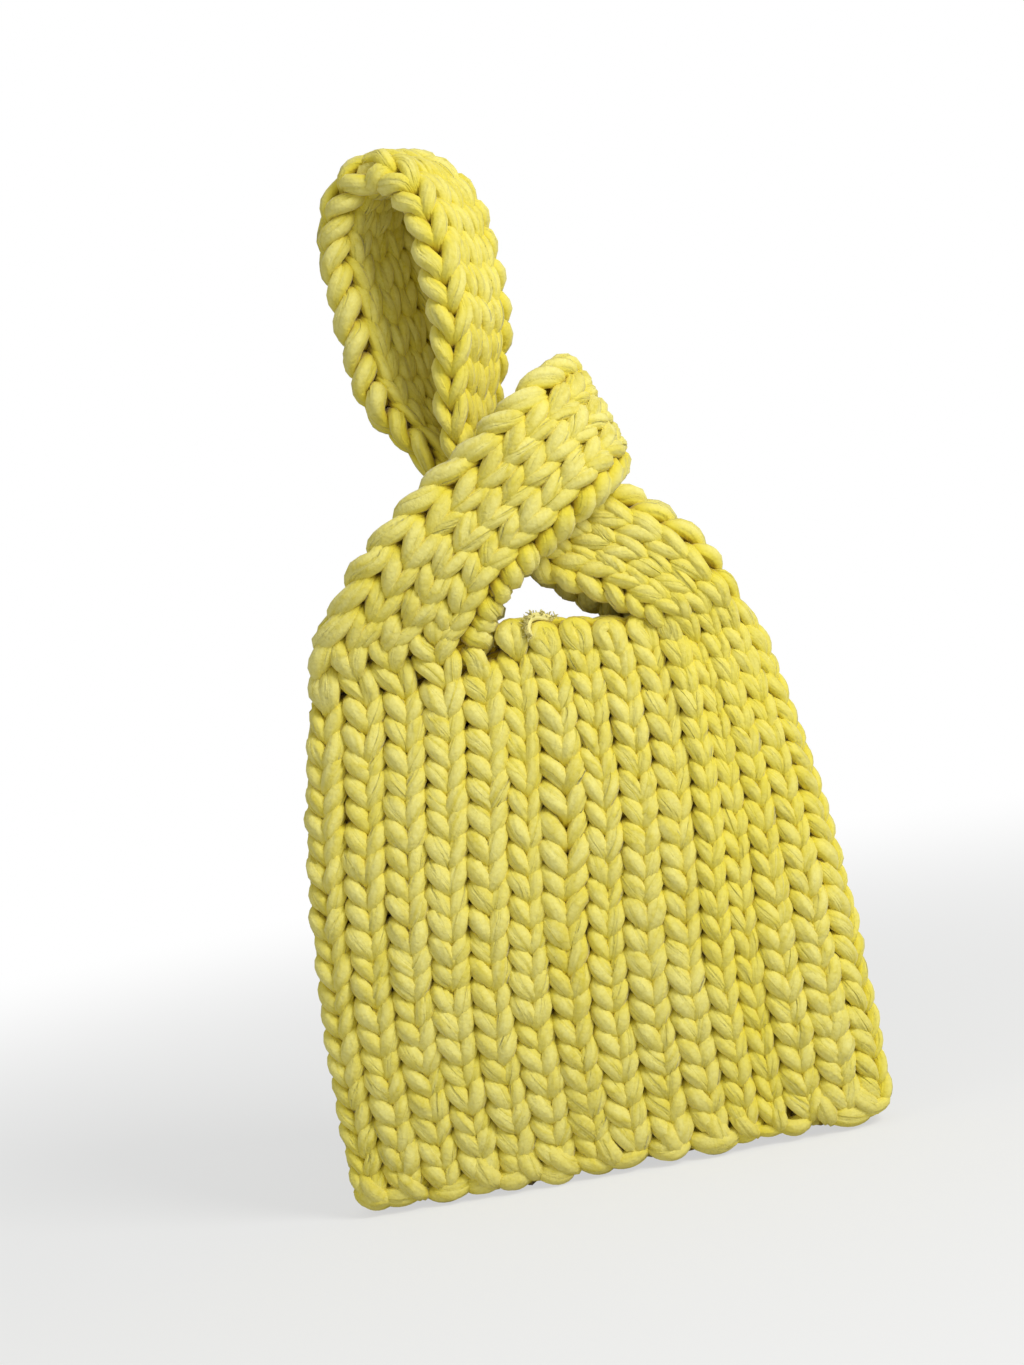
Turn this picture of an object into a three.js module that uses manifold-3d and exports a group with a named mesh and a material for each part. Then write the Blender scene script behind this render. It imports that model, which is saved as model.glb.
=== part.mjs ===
// A hand-knitted knot bag: two stockinette panels sewn at the sides and bottom, a short handle
// whose loop is threaded by the long handle, and the long handle's grip loop above that knot.
// Millimetres, +Z up, +X to the right seen from the front, the front faces -Y.

import * as THREE from 'three';
import { mergeVertices } from 'three/addons/utils/BufferGeometryUtils.js';
import Module from 'manifold-3d';

const wasm = await Module();
wasm.setup();

// Driving sizes of the bag body
const BASE_WIDTH = 200;
const SHOULDER_WIDTH = 167;
const SHOULDER_HEIGHT = 180;
const BELLY_DEPTH = 52;
const BASE_DEPTH = 29;
const SHOULDER_DEPTH = 41;
const FABRIC = 13;
const BOTTOM_SEAM_HEIGHT = 9;
const BOTTOM_SEAM_ROUNDING = 4;
const SIDE_SEAM_DEPTH = 4;
const SIDE_SEAM_SETBACK = 2;
const SIDE_DRAW_IN = 2.6;
const SECTION_ROUNDNESS = 2.6;

// Driving sizes of the knitting's columns, which stand up as ribs. The eleventh and twelfth are
// bunched under the long handle, and the handles gather the columns towards the shoulders.
const COLUMN_WIDTHS = [1, 1, 1, 1, 1, 1, 1, 1, 1.04, 1, 0.78, 0.72, 0.95, 1, 1];
const COLUMN_GROOVE = 3.2;
const GATHER_FROM = 0.25;
const GATHER_TO = 1.05;

// Driving sizes of the mouth
const MOUTH_LEFT = -12.5;
const MOUTH_RIGHT = 46.5;
const MOUTH_HEIGHT = 194;
const BIND_OFF_HEIGHT = 10;
const YARN_TAIL_LENGTH = 15;
const YARN_TAIL_WIDTH = 6;
const YARN_TAIL_X = 4;

// Driving sizes of the handles
const KNOT_X = 5;
const KNOT_HEIGHT = 246;
const SHORT_RISE_DEG = 35;
const LONG_RISE_DEG = 134;
const SHORT_WIDTH = 45;
const SHORT_REACH = 12;
const CREST_TURN_DEG = 15;
const SHORT_OUTER_BEND = [-76, 226];
const SHORT_INNER_BEND = [-22, 207];
const LOOP_ROOM = 36;
const LONG_WIDTH = 41;
const LONG_OUTER_BEND = [80, 215];
const LONG_INNER_BEND = [42, 198];
const KNOT_WIDTH = 25;
const KNOT_FABRIC = 11;
const KNOT_DRAW = 0.65;
const GRIP_WIDTH = 40;
const GRIP_OPENING = 22;
const GRIP_HEIGHT = 110;
const GRIP_ARCH = 28;
const GRIP_LEAN_DEG = 94;
const GRIP_TWIST_DEG = 60;
const GRIP_TURN_DEG = 22;
const KNOT_TWIST_DEG = 45;
const JOIN_SEAM_WIDTH = 9;

// Where each layer of the grip begins to leave the other and is fully apart, on the way to the arch
const GRIP_FRONT_PARTING = [0, 0.72];
const GRIP_BACK_PARTING = [-0.1, 0.4];

// How the handles spread from the shoulder to the knot, as shares at even steps along the way
const SHORT_SPREAD = [0, 0.15, 0.75, 1];
const LONG_SPREAD = [0, 0.1, 0.6, 1];
const GRIP_LEG_STEPS = [0, 0.2, 0.4, 0.6, 0.8];

// Facets of the straps, panels and round pieces, and how a strap's edges round off
const STRAP_ACROSS = 8;
const STRAP_ALONG = 2;
const COLUMN_FACETS = 4;
const PANEL_UP = 12;
const BAR_FACETS = 40;
const BEAD_FACETS = 10;
const BEAD_CAP_RINGS = 3;
const SEAM_CORNER_FACETS = 4;
const EDGE_ROUNDING = 0.7;
const EDGE_SHARPNESS = 6;
const ROOT_STRETCH = 1.6;

// How far the joints let the handles go, and the gap that keeps neighbours apart
const FOLD_DEG = 25;
const SWAY_BACK_DEG = 8;
const CLEARANCE = 0.3;

const rad = THREE.MathUtils.degToRad;
const lerp = THREE.MathUtils.lerp;
const ease = THREE.MathUtils.smoothstep;
const inPlane = (degrees) => new THREE.Vector2(Math.cos(rad(degrees)), Math.sin(rad(degrees)));

// Directions in the plane of the bag: along the short loop, along the long strap, up the grip
const alongShort = inPlane(SHORT_RISE_DEG);
const acrossShort = inPlane(SHORT_RISE_DEG - 90);
const alongLong = inPlane(LONG_RISE_DEG);
const acrossLong = inPlane(LONG_RISE_DEG - 90);
const upGrip = inPlane(GRIP_LEAN_DEG);
const acrossGrip = inPlane(GRIP_LEAN_DEG - 90);
const knot = new THREE.Vector2(KNOT_X, KNOT_HEIGHT);
const gripPivot = knot.clone().addScaledVector(alongLong, SHORT_WIDTH / 2);

// The fold line of the handles runs across the bag at shoulder height, level with the outer faces
const foldRadius = SHOULDER_DEPTH / 2;
const foldLift = foldRadius * Math.tan(rad(FOLD_DEG / 2)) + 2 * CLEARANCE;
const shoulderTop = SHOULDER_HEIGHT + foldRadius;
const panelBottom = BOTTOM_SEAM_HEIGHT + CLEARANCE;
const panelMouth = MOUTH_HEIGHT - BIND_OFF_HEIGHT - CLEARANCE;

// Half width and half depth of the body at a height
const bodyHalfWidth = (z) => {
  const drawnIn = (BASE_WIDTH - SHOULDER_WIDTH) / 2;
  return BASE_WIDTH / 2 - drawnIn * (z / SHOULDER_HEIGHT) ** SIDE_DRAW_IN;
};
const bodyHalfDepth = (z) => {
  const rise = Math.min(z / SHOULDER_HEIGHT, 1);
  const straight = lerp(BASE_DEPTH, SHOULDER_DEPTH, rise) / 2;
  const belly = (BELLY_DEPTH - (BASE_DEPTH + SHOULDER_DEPTH) / 2) / 2;
  return straight + belly * Math.sin(Math.PI * rise);
};

// A point on the front of the body, u from the left side seam to the right one, inset from outside
function bodyPoint(u, z, inset) {
  const angle = Math.PI * (1 - u);
  const power = 2 / SECTION_ROUNDNESS;
  const bow = Math.abs(Math.sin(angle)) ** power;
  const reach = Math.sign(Math.cos(angle)) * Math.abs(Math.cos(angle)) ** power;
  const seam = SIDE_SEAM_DEPTH / 2;
  const x = (bodyHalfWidth(z) - inset) * reach;
  const y = -seam - (bodyHalfDepth(z) - inset - seam) * bow;
  return new THREE.Vector3(x, y, z);
}

// How far round the front a width x lies at shoulder height, the inverse of bodyPoint
function bodyPlace(x) {
  const reach = Math.abs(x) / (bodyHalfWidth(SHOULDER_HEIGHT) - FABRIC / 2);
  const angle = Math.acos(Math.sign(x) * reach ** (SECTION_ROUNDNESS / 2));
  return 1 - angle / Math.PI;
}

// Places that part a stretch of the front evenly by its length
function evenly(from, to) {
  const stretch = new THREE.Curve();
  stretch.getPoint = (t) => bodyPoint(lerp(from, to, t), SHOULDER_HEIGHT, FABRIC / 2);
  return (share) => lerp(from, to, stretch.getUtoTmapping(share));
}

const mouthPlaces = [0, bodyPlace(MOUTH_LEFT), bodyPlace(MOUTH_RIGHT), 1];
const wholeFront = evenly(0, 1);
const thirds = mouthPlaces.slice(1).map((to, i) => evenly(mouthPlaces[i], to));
const columnEdges = COLUMN_WIDTHS.reduce((edges, width) => [...edges, edges.at(-1) + width], [0]);

// Where the knitting's columns lie at a height, column counting from the left side seam
function columnPlace(column, z) {
  const whole = Math.min(Math.floor(column), COLUMN_WIDTHS.length - 1);
  const run = lerp(columnEdges[whole], columnEdges[whole + 1], column - whole);
  const spread = wholeFront(run / columnEdges.at(-1));
  const share = (column / COLUMN_WIDTHS.length) * thirds.length;
  const third = Math.min(Math.floor(share), thirds.length - 1);
  const gathered = thirds[third](share - third);
  return lerp(spread, gathered, ease(z / SHOULDER_HEIGHT, GATHER_FROM, GATHER_TO));
}

// Closed slab between an outer and an inner grid of points
function slab(outer, inner, across, along) {
  const points = [];
  for (const face of [outer, inner]) {
    for (let j = 0; j <= along; j++) {
      for (let i = 0; i <= across; i++) {
        points.push(...face(i / across, j / along).toArray());
      }
    }
  }
  const row = across + 1;
  const layer = row * (along + 1);
  const triangles = [];
  const quad = (a, b, c, d) => triangles.push(a, b, c, a, c, d);
  for (let j = 0; j < along; j++) {
    for (let i = 0; i < across; i++) {
      const a = j * row + i;
      quad(a, a + 1, a + row + 1, a + row);
      quad(a + layer, a + layer + row, a + layer + row + 1, a + layer + 1);
    }
    const left = j * row;
    const right = left + across;
    quad(left, left + row, left + row + layer, left + layer);
    quad(right, right + layer, right + layer + row, right + row);
  }
  for (let i = 0; i < across; i++) {
    const top = along * row + i;
    quad(i, i + layer, i + layer + 1, i + 1);
    quad(top, top + 1, top + 1 + layer, top + layer);
  }
  const geometry = new THREE.BufferGeometry();
  geometry.setAttribute('position', new THREE.Float32BufferAttribute(points, 3));
  geometry.setIndex(triangles);
  return facingOut(geometry);
}

// A mirrored slab comes out inside out, so its triangles are turned round
function facingOut(geometry) {
  const [a, b, c] = [new THREE.Vector3(), new THREE.Vector3(), new THREE.Vector3()];
  const place = geometry.attributes.position;
  const index = geometry.index.array;
  let volume = 0;
  for (let i = 0; i < index.length; i += 3) {
    a.fromBufferAttribute(place, index[i]);
    b.fromBufferAttribute(place, index[i + 1]);
    c.fromBufferAttribute(place, index[i + 2]);
    volume += a.dot(b.cross(c));
  }
  if (volume < 0) geometry.setIndex(Array.from(index).reverse());
  return geometry;
}

// Solids for cutting and joining
function solid(geometry) {
  const bare = geometry.clone();
  for (const name of ['normal', 'uv']) bare.deleteAttribute(name);
  const merged = mergeVertices(bare, 1e-4);
  const vertProperties = new Float32Array(merged.attributes.position.array);
  const triVerts = new Uint32Array(merged.index.array);
  return new wasm.Manifold(new wasm.Mesh({ numProp: 3, vertProperties, triVerts }));
}

function shape(manifold) {
  const mesh = manifold.getMesh();
  const geometry = new THREE.BufferGeometry();
  geometry.setAttribute('position', new THREE.BufferAttribute(mesh.vertProperties, 3));
  geometry.setIndex(new THREE.BufferAttribute(mesh.triVerts, 1));
  return geometry;
}

function block(x0, x1, y0, y1, z0, z1) {
  const box = new THREE.BoxGeometry(x1 - x0, y1 - y0, z1 - z0);
  box.translate((x0 + x1) / 2, (y0 + y1) / 2, (z0 + z1) / 2);
  return solid(box);
}

// Round bar across the bag on the fold line
function foldBar(radius) {
  const bar = new THREE.CylinderGeometry(radius, radius, 2 * BASE_WIDTH, BAR_FACETS);
  bar.rotateZ(Math.PI / 2);
  bar.translate(0, 0, SHOULDER_HEIGHT);
  return solid(bar);
}

// Round bar from front to back on the grip's pivot
function swayBar(radius) {
  const bar = new THREE.CylinderGeometry(radius, radius, 2 * BASE_WIDTH, BAR_FACETS);
  bar.translate(gripPivot.x, 0, gripPivot.y);
  return solid(bar);
}

// Curve through the stations of a strap, one number or point per station
function through(stations, read) {
  const points = stations.map((station) => new THREE.Vector3(...read(station)));
  return new THREE.CatmullRomCurve3(points, false, 'catmullrom', 0.5);
}

// One layer of a strap that has a front and a back layer. A station gives the strap's middle and
// half width in the plane of the bag, the layer's offset from it, its fabric and its twist, and how
// far the back layer turns away from that twist, to face more to the front.
// side is 1 for the front layer and -1 for the back one. root is the body's own curve at the
// shoulder, which the strap leaves over its first stretch.
function strap(stations, side, root) {
  const middles = through(stations, (s) => [s.middle.x, 0, s.middle.y]);
  const halves = through(stations, (s) => [s.half.x, 0, s.half.y]);
  const others = through(stations, (s) => [s.offset, s.fabric, rad(s.twist)]);
  const turns = through(stations, (s) => [side < 0 ? rad(s.turn) : 0, 0, 0]);
  const flat = (u, t) => {
    const half = halves.getPoint(t);
    const [offset, , twist] = others.getPoint(t).toArray();
    const facing = twist - turns.getPoint(t).x;
    const width = half.length();
    const away = half.clone().normalize().multiplyScalar(Math.sin(twist));
    away.y = -Math.cos(twist);
    const across = half.clone().multiplyScalar(Math.cos(facing));
    across.y = width * Math.sin(facing);
    return middles.getPoint(t).addScaledVector(away, side * offset).addScaledVector(across, 2 * u - 1);
  };
  const mid = (u, t) => {
    if (!root) return flat(u, t);
    const still = 1 - ease(t * (stations.length - 1), 0, root.stretch);
    const climb = middles.getPoint(t).sub(middles.getPoint(0));
    const held = bodyPoint(lerp(root.from, root.to, u), SHOULDER_HEIGHT, FABRIC / 2).add(climb);
    held.y *= side;
    return flat(u, t).lerp(held, still);
  };
  const face = (sign) => (u, t) => {
    const step = 1e-3;
    const widthwise = mid(u + step, t).sub(mid(u - step, t));
    const lengthwise = mid(u, Math.min(t + step, 1)).sub(mid(u, Math.max(t - step, 0)));
    const normal = widthwise.cross(lengthwise).normalize();
    const fabric = others.getPoint(t).y;
    const edge = Math.sqrt(1 - EDGE_ROUNDING * Math.abs(2 * u - 1) ** EDGE_SHARPNESS);
    return mid(u, t).addScaledVector(normal, (sign * fabric * edge) / 2);
  };
  return slab(face(1), face(-1), STRAP_ACROSS, STRAP_ALONG * (stations.length - 1));
}

const station = (middle, half, offset, fabric, twist, turn = 0) =>
  ({ middle, half, offset, fabric, twist, turn });
const at = (x, z) => new THREE.Vector2(x, z);
const rootDepth = (SHOULDER_DEPTH - FABRIC) / 2;
const sideEdge = bodyHalfWidth(SHOULDER_HEIGHT) - FABRIC / 2;

// Stations of a handle that leaves its shoulder between two bent edges, seen from the front
function fromShoulder(left, right, offsets) {
  const leftEdge = new THREE.QuadraticBezierCurve(...left);
  const rightEdge = new THREE.QuadraticBezierCurve(...right);
  return offsets.map((offset, i) => {
    const a = leftEdge.getPoint(i / (offsets.length - 1));
    const b = rightEdge.getPoint(i / (offsets.length - 1));
    const half = b.clone().sub(a).multiplyScalar(0.5);
    return station(a.add(half), half, offset, FABRIC, 0);
  });
}

// Angles of the stations round a handle's top, up to its crest and across it
const archAngles = [0, 22.5, 45, 67.5, 90];
const crestAngles = [45, 67.5, 90, 112.5, 135];

// Short handle: up from the left shoulder, over the knot and round to the back
const loopOffset = (LOOP_ROOM + FABRIC) / 2;
const shortHalf = acrossShort.clone().multiplyScalar(SHORT_WIDTH / 2);
const archFoot = knot.clone().addScaledVector(alongShort, SHORT_REACH);

function shortArch(degrees) {
  const reached = Math.sin(rad(degrees));
  const middle = archFoot.clone().addScaledVector(alongShort, loopOffset * reached);
  const half = shortHalf.clone().rotateAround(new THREE.Vector2(), -rad(CREST_TURN_DEG) * reached);
  return station(middle, half, loopOffset * Math.cos(rad(degrees)), FABRIC, 0);
}

const shortLeft = [at(-sideEdge, SHOULDER_HEIGHT), at(...SHORT_OUTER_BEND), knot.clone().sub(shortHalf)];
const shortRight = [
  at(MOUTH_LEFT - CLEARANCE, SHOULDER_HEIGHT),
  at(...SHORT_INNER_BEND),
  knot.clone().add(shortHalf),
];
const shortDepths = SHORT_SPREAD.map((share) => lerp(rootDepth, loopOffset, share));
const shortStations = [
  ...fromShoulder(shortLeft, shortRight, shortDepths),
  ...archAngles.map(shortArch),
];
const shortRoot = { from: 0, to: bodyPlace(MOUTH_LEFT - CLEARANCE), stretch: ROOT_STRETCH };

// Long handle below the knot: up from the right shoulder, drawn together under the short loop
const layerOffset = (fabric) => fabric / 2 + CLEARANCE;
const longEntry = knot.clone().addScaledVector(alongLong, -SHORT_WIDTH / 2);
const longHalf = (width) => acrossLong.clone().multiplyScalar(width / 2);

function drawnTogether(middle, share) {
  const fabric = lerp(FABRIC, KNOT_FABRIC, share);
  const half = longHalf(lerp(LONG_WIDTH, KNOT_WIDTH, share));
  return station(middle, half, layerOffset(fabric), fabric, KNOT_TWIST_DEG * share ** 2);
}

const longLeft = [
  at(MOUTH_RIGHT + CLEARANCE, SHOULDER_HEIGHT),
  at(...LONG_INNER_BEND),
  longEntry.clone().sub(longHalf(LONG_WIDTH)),
];
const longRight = [
  at(sideEdge, SHOULDER_HEIGHT),
  at(...LONG_OUTER_BEND),
  longEntry.clone().add(longHalf(LONG_WIDTH)),
];
const longDepths = LONG_SPREAD.map((share) => lerp(rootDepth, layerOffset(FABRIC), share));
const longStations = [
  ...fromShoulder(longLeft, longRight, longDepths),
  drawnTogether(knot, KNOT_DRAW),
  drawnTogether(gripPivot, 1),
];
const longRoot = { from: bodyPlace(MOUTH_RIGHT + CLEARANCE), to: 1, stretch: ROOT_STRETCH };

// Grip loop: two layers part above the knot, turn to face the hand and meet in an arch
const knotLayer = layerOffset(KNOT_FABRIC);
const gripOffset = (GRIP_OPENING + FABRIC) / 2;
const gripArchFoot = GRIP_HEIGHT - GRIP_ARCH - FABRIC / 2;

function gripStation(climb, opened, offset, turn) {
  const middle = gripPivot.clone().addScaledVector(upGrip, climb);
  const half = acrossGrip.clone().multiplyScalar(lerp(KNOT_WIDTH, GRIP_WIDTH, opened) / 2);
  const twist = lerp(KNOT_TWIST_DEG, GRIP_TWIST_DEG, opened);
  return station(middle, half, offset, lerp(KNOT_FABRIC, FABRIC, opened), twist, turn);
}

function gripLeg(share, parting) {
  const opened = ease(share, ...parting);
  const offset = lerp(knotLayer, gripOffset, opened);
  return gripStation(gripArchFoot * share, opened, offset, GRIP_TURN_DEG * opened);
}

function gripArch(degrees) {
  const climb = gripArchFoot + GRIP_ARCH * Math.sin(rad(degrees));
  const foot = Math.cos(rad(degrees));
  return gripStation(climb, 1, gripOffset * foot, GRIP_TURN_DEG * foot ** 2);
}

const gripFoot = Math.hypot(KNOT_WIDTH, 2 * KNOT_FABRIC) / 2 + CLEARANCE;
const gripStations = (parting) => [
  gripStation(-gripFoot, 0, knotLayer, 0),
  ...GRIP_LEG_STEPS.map((share) => gripLeg(share, parting)),
  ...archAngles.map(gripArch),
];

// Slice across the top of a handle's loop, where its front and back layers are sewn together
function crestSlice(width, middle, across, twist) {
  const size = 2 * BASE_WIDTH;
  const widthwise = new THREE.Vector3(across.x * Math.cos(rad(twist)), Math.sin(rad(twist)), 0);
  widthwise.z = across.y * Math.cos(rad(twist));
  const upward = new THREE.Vector3(-across.y, 0, across.x);
  const inward = upward.clone().cross(widthwise);
  const turned = new THREE.Matrix4().makeBasis(widthwise, inward, upward);
  const box = new THREE.BoxGeometry(size, width, size).applyMatrix4(turned);
  box.translate(middle.x, 0, middle.y);
  return solid(box);
}

const shortCrest = (width) => crestSlice(width, archFoot, acrossShort, 0);
const gripCrest = (width) => crestSlice(width, gripPivot, acrossGrip, GRIP_TWIST_DEG);

// Everything from the foot of a loop's arch upwards, seen from the front
function pastLine(middle, degrees) {
  const size = 4 * BASE_WIDTH;
  const box = new THREE.BoxGeometry(size, size, size);
  box.translate(size / 2, 0, 0);
  box.rotateY(-rad(degrees));
  box.translate(middle.x, 0, middle.y);
  return solid(box);
}

// Sewn join that closes the crest of a loop
function joinSeam(arch, crest) {
  const stations = crestAngles.map(arch);
  return shape(solid(strap(stations, 1)).intersect(crest(JOIN_SEAM_WIDTH)));
}

// A handle's layer stops short of the sewn join
function belowCrest(manifold, crest, middle, degrees) {
  const gap = crest(JOIN_SEAM_WIDTH + 2 * CLEARANCE).intersect(pastLine(middle, degrees));
  return manifold.subtract(gap);
}

// Knitted panel with a rib for each column of stitches, its shoulders rounded about the fold line
// and its middle cut down to the mouth
function panel(side) {
  const top = shoulderTop + FABRIC;
  const face = (inset) => (u, v) => {
    const z = lerp(panelBottom, top, v);
    const column = u * COLUMN_WIDTHS.length;
    const point = bodyPoint(columnPlace(column, z), z, inset(column));
    point.y *= side;
    return point;
  };
  const ribs = (column) => COLUMN_GROOVE * (2 * (column % 1) - 1) ** 2;
  const lining = () => FABRIC;
  const across = COLUMN_FACETS * COLUMN_WIDTHS.length;
  const cloth = solid(slab(face(ribs), face(lining), across, PANEL_UP));
  const above = block(-BASE_WIDTH, BASE_WIDTH, -BASE_WIDTH, BASE_WIDTH, SHOULDER_HEIGHT, 2 * top);
  const mouth = block(MOUTH_LEFT, MOUTH_RIGHT, -BASE_WIDTH, BASE_WIDTH, 0, 2 * top);
  const sill = block(MOUTH_LEFT, MOUTH_RIGHT, -BASE_WIDTH, BASE_WIDTH, panelMouth, 2 * top);
  const shoulders = above.subtract(foldBar(foldRadius)).subtract(mouth);
  return shape(cloth.subtract(shoulders).subtract(sill));
}

// Foot of a handle, hollowed to turn on the shoulders and to clear the mouth's edges as it folds
function offShoulder(geometry) {
  const wide = 2 * BASE_WIDTH;
  const below = block(-wide, wide, -wide, wide, -wide, SHOULDER_HEIGHT + foldLift);
  const beadRise = MOUTH_HEIGHT - BIND_OFF_HEIGHT / 2 - SHOULDER_HEIGHT;
  const beadReach = Math.hypot(rootDepth, beadRise) + FABRIC / 2 + CLEARANCE;
  const mouth = block(MOUTH_LEFT - CLEARANCE, MOUTH_RIGHT + CLEARANCE, -wide, wide, -wide, wide);
  return solid(geometry)
    .subtract(foldBar(foldRadius + CLEARANCE))
    .subtract(foldBar(beadReach).intersect(mouth))
    .subtract(below);
}

// Side seam: the yarn that draws the panels' edges together
function sideSeam(side) {
  const top = shoulderTop - SIDE_SEAM_SETBACK;
  const half = SIDE_SEAM_DEPTH / 2 - CLEARANCE;
  const face = (depth) => (u, v) => {
    const z = lerp(panelBottom, top, v);
    const x = bodyHalfWidth(z) - lerp(0, FABRIC, u);
    return new THREE.Vector3(side * x, depth, z);
  };
  return slab(face(-half), face(half), 2, PANEL_UP);
}

// Bottom seam: whip-stitched edge that closes the base, flat underneath
function bottomSeam() {
  const half = BASE_DEPTH / 2;
  const round = BOTTOM_SEAM_ROUNDING;
  const outline = new THREE.Shape();
  outline.moveTo(-half + round, 0);
  outline.lineTo(half - round, 0);
  outline.absarc(half - round, round, round, -Math.PI / 2, 0, false);
  outline.lineTo(half, BOTTOM_SEAM_HEIGHT);
  outline.lineTo(-half, BOTTOM_SEAM_HEIGHT);
  outline.lineTo(-half, round);
  outline.absarc(-half + round, round, round, Math.PI, 1.5 * Math.PI, false);
  const bar = new THREE.ExtrudeGeometry(outline, {
    depth: BASE_WIDTH,
    bevelEnabled: false,
    steps: 1,
    curveSegments: SEAM_CORNER_FACETS,
  });
  bar.translate(0, 0, -BASE_WIDTH / 2);
  bar.rotateY(Math.PI / 2);
  bar.rotateX(Math.PI / 2);
  return bar;
}

// Bound-off edge along one side of the mouth
function bindOff(side) {
  const round = BIND_OFF_HEIGHT / 2;
  const length = MOUTH_RIGHT - MOUTH_LEFT - BIND_OFF_HEIGHT - 2 * CLEARANCE;
  const bead = new THREE.CapsuleGeometry(round, length, BEAD_CAP_RINGS, BEAD_FACETS);
  bead.rotateZ(Math.PI / 2);
  bead.scale(1, FABRIC / BIND_OFF_HEIGHT, 1);
  bead.translate((MOUTH_LEFT + MOUTH_RIGHT) / 2, side * -rootDepth, MOUTH_HEIGHT - round);
  return bead;
}

// Cut end of the yarn, lying on the front bound-off edge
function yarnTail() {
  const round = YARN_TAIL_WIDTH / 2;
  const length = YARN_TAIL_LENGTH - YARN_TAIL_WIDTH;
  const tail = new THREE.CapsuleGeometry(round, length, BEAD_CAP_RINGS, BEAD_FACETS);
  tail.rotateZ(Math.PI / 2);
  tail.translate(YARN_TAIL_X, -rootDepth, MOUTH_HEIGHT + round + CLEARANCE);
  return tail;
}

// The long strap stops at the pivot, clear of the grip at either end of its sway
function belowPivot(geometry) {
  return offShoulder(geometry)
    .subtract(swayBar(gripFoot + CLEARANCE))
    .subtract(pastLine(gripPivot, GRIP_LEAN_DEG - SWAY_BACK_DEG));
}

// The grip's foot is rounded about the pivot
function abovePivot(geometry) {
  return solid(geometry).intersect(pastLine(gripPivot, GRIP_LEAN_DEG).add(swayBar(gripFoot)));
}

const lemonYarn = { color: 0xf0e481, roughness: 0.9, metalness: 0 };
const seamYarn = { color: 0xe9dc78, roughness: 0.9, metalness: 0 };
const frayedYarn = { color: 0xf3ebad, roughness: 0.95, metalness: 0 };

const bag = new THREE.Group();

function add(name, geometry, finish) {
  const mesh = new THREE.Mesh(geometry, new THREE.MeshStandardMaterial(finish));
  mesh.name = name;
  bag.add(mesh);
}

const gripShoulder = gripPivot.clone().addScaledVector(upGrip, gripArchFoot);

function shortLayer(side) {
  const layer = offShoulder(strap(shortStations, side, shortRoot));
  return shape(belowCrest(layer, shortCrest, archFoot, SHORT_RISE_DEG));
}

function longLayer(side) {
  return shape(belowPivot(strap(longStations, side, longRoot)));
}

function gripLayer(side) {
  const parting = side > 0 ? GRIP_FRONT_PARTING : GRIP_BACK_PARTING;
  const layer = abovePivot(strap(gripStations(parting), side));
  return shape(belowCrest(layer, gripCrest, gripShoulder, GRIP_LEAN_DEG));
}

for (const [layer, side] of [['front', 1], ['back', -1]]) {
  add(`${layer}_panel`, panel(side), lemonYarn);
  add(`${layer}_mouth_edge`, bindOff(side), seamYarn);
  add(`short_handle_${layer}`, shortLayer(side), lemonYarn);
  add(`long_handle_${layer}`, longLayer(side), lemonYarn);
  add(`grip_${layer}`, gripLayer(side), lemonYarn);
}
add('left_side_seam', sideSeam(-1), seamYarn);
add('right_side_seam', sideSeam(1), seamYarn);
add('bottom_seam', bottomSeam(), seamYarn);
add('short_handle_join', joinSeam(shortArch, shortCrest), seamYarn);
add('grip_join', joinSeam(gripArch, gripCrest), seamYarn);
add('yarn_tail', yarnTail(), frayedYarn);

// The origin is where a hand bears on the underside of the grip's arch
const handHold = gripPivot.clone().addScaledVector(upGrip, GRIP_HEIGHT - FABRIC);
bag.position.set(-handHold.x, 0, -handHold.y);

export default bag;
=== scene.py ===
"""Looks of a hand-knitted knot bag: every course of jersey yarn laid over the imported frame."""
import math
from typing import NamedTuple

import bmesh
import bpy
import numpy as np
from bpy.props import FloatProperty, FloatVectorProperty, IntProperty, PointerProperty, StringProperty
from mathutils import Matrix, Vector


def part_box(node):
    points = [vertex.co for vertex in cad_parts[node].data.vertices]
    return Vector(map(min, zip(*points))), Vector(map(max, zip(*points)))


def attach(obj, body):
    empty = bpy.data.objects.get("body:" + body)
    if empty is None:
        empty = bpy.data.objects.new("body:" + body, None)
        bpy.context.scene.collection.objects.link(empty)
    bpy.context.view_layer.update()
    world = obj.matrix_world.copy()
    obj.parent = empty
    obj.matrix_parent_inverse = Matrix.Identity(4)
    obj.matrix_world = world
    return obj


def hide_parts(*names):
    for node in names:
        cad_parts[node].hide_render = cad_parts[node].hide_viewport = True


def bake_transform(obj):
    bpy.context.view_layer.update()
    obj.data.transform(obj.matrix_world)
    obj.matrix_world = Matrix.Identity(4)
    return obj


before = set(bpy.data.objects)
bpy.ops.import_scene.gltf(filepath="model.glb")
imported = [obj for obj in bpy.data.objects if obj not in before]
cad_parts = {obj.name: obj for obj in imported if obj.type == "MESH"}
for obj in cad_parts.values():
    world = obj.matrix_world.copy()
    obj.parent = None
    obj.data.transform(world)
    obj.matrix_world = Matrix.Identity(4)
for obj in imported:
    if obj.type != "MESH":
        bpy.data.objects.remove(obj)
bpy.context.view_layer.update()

bl_info = {
    "name": "Knitted knot bag",
    "version": (1, 0, 0),
    "blender": (4, 5, 0),
    "location": "View3D > Sidebar > Knot bag",
    "description": "Knits the panels, handles and seams of a knot bag over its frame",
    "category": "Add Mesh",
}

MM = 0.001

# The shapes below are worked out above the middle of the base, and then put in the frame's place
BASE_LOW, BASE_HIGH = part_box("bottom_seam")
BASE_PLACE = np.array(((BASE_LOW.x + BASE_HIGH.x) / 2, 0.0, BASE_LOW.z))


def length(words, default_mm):
    """A size in metres, with its default given in millimetres."""
    return FloatProperty(name=words, description=words, default=default_mm * MM, unit="LENGTH")


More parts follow.
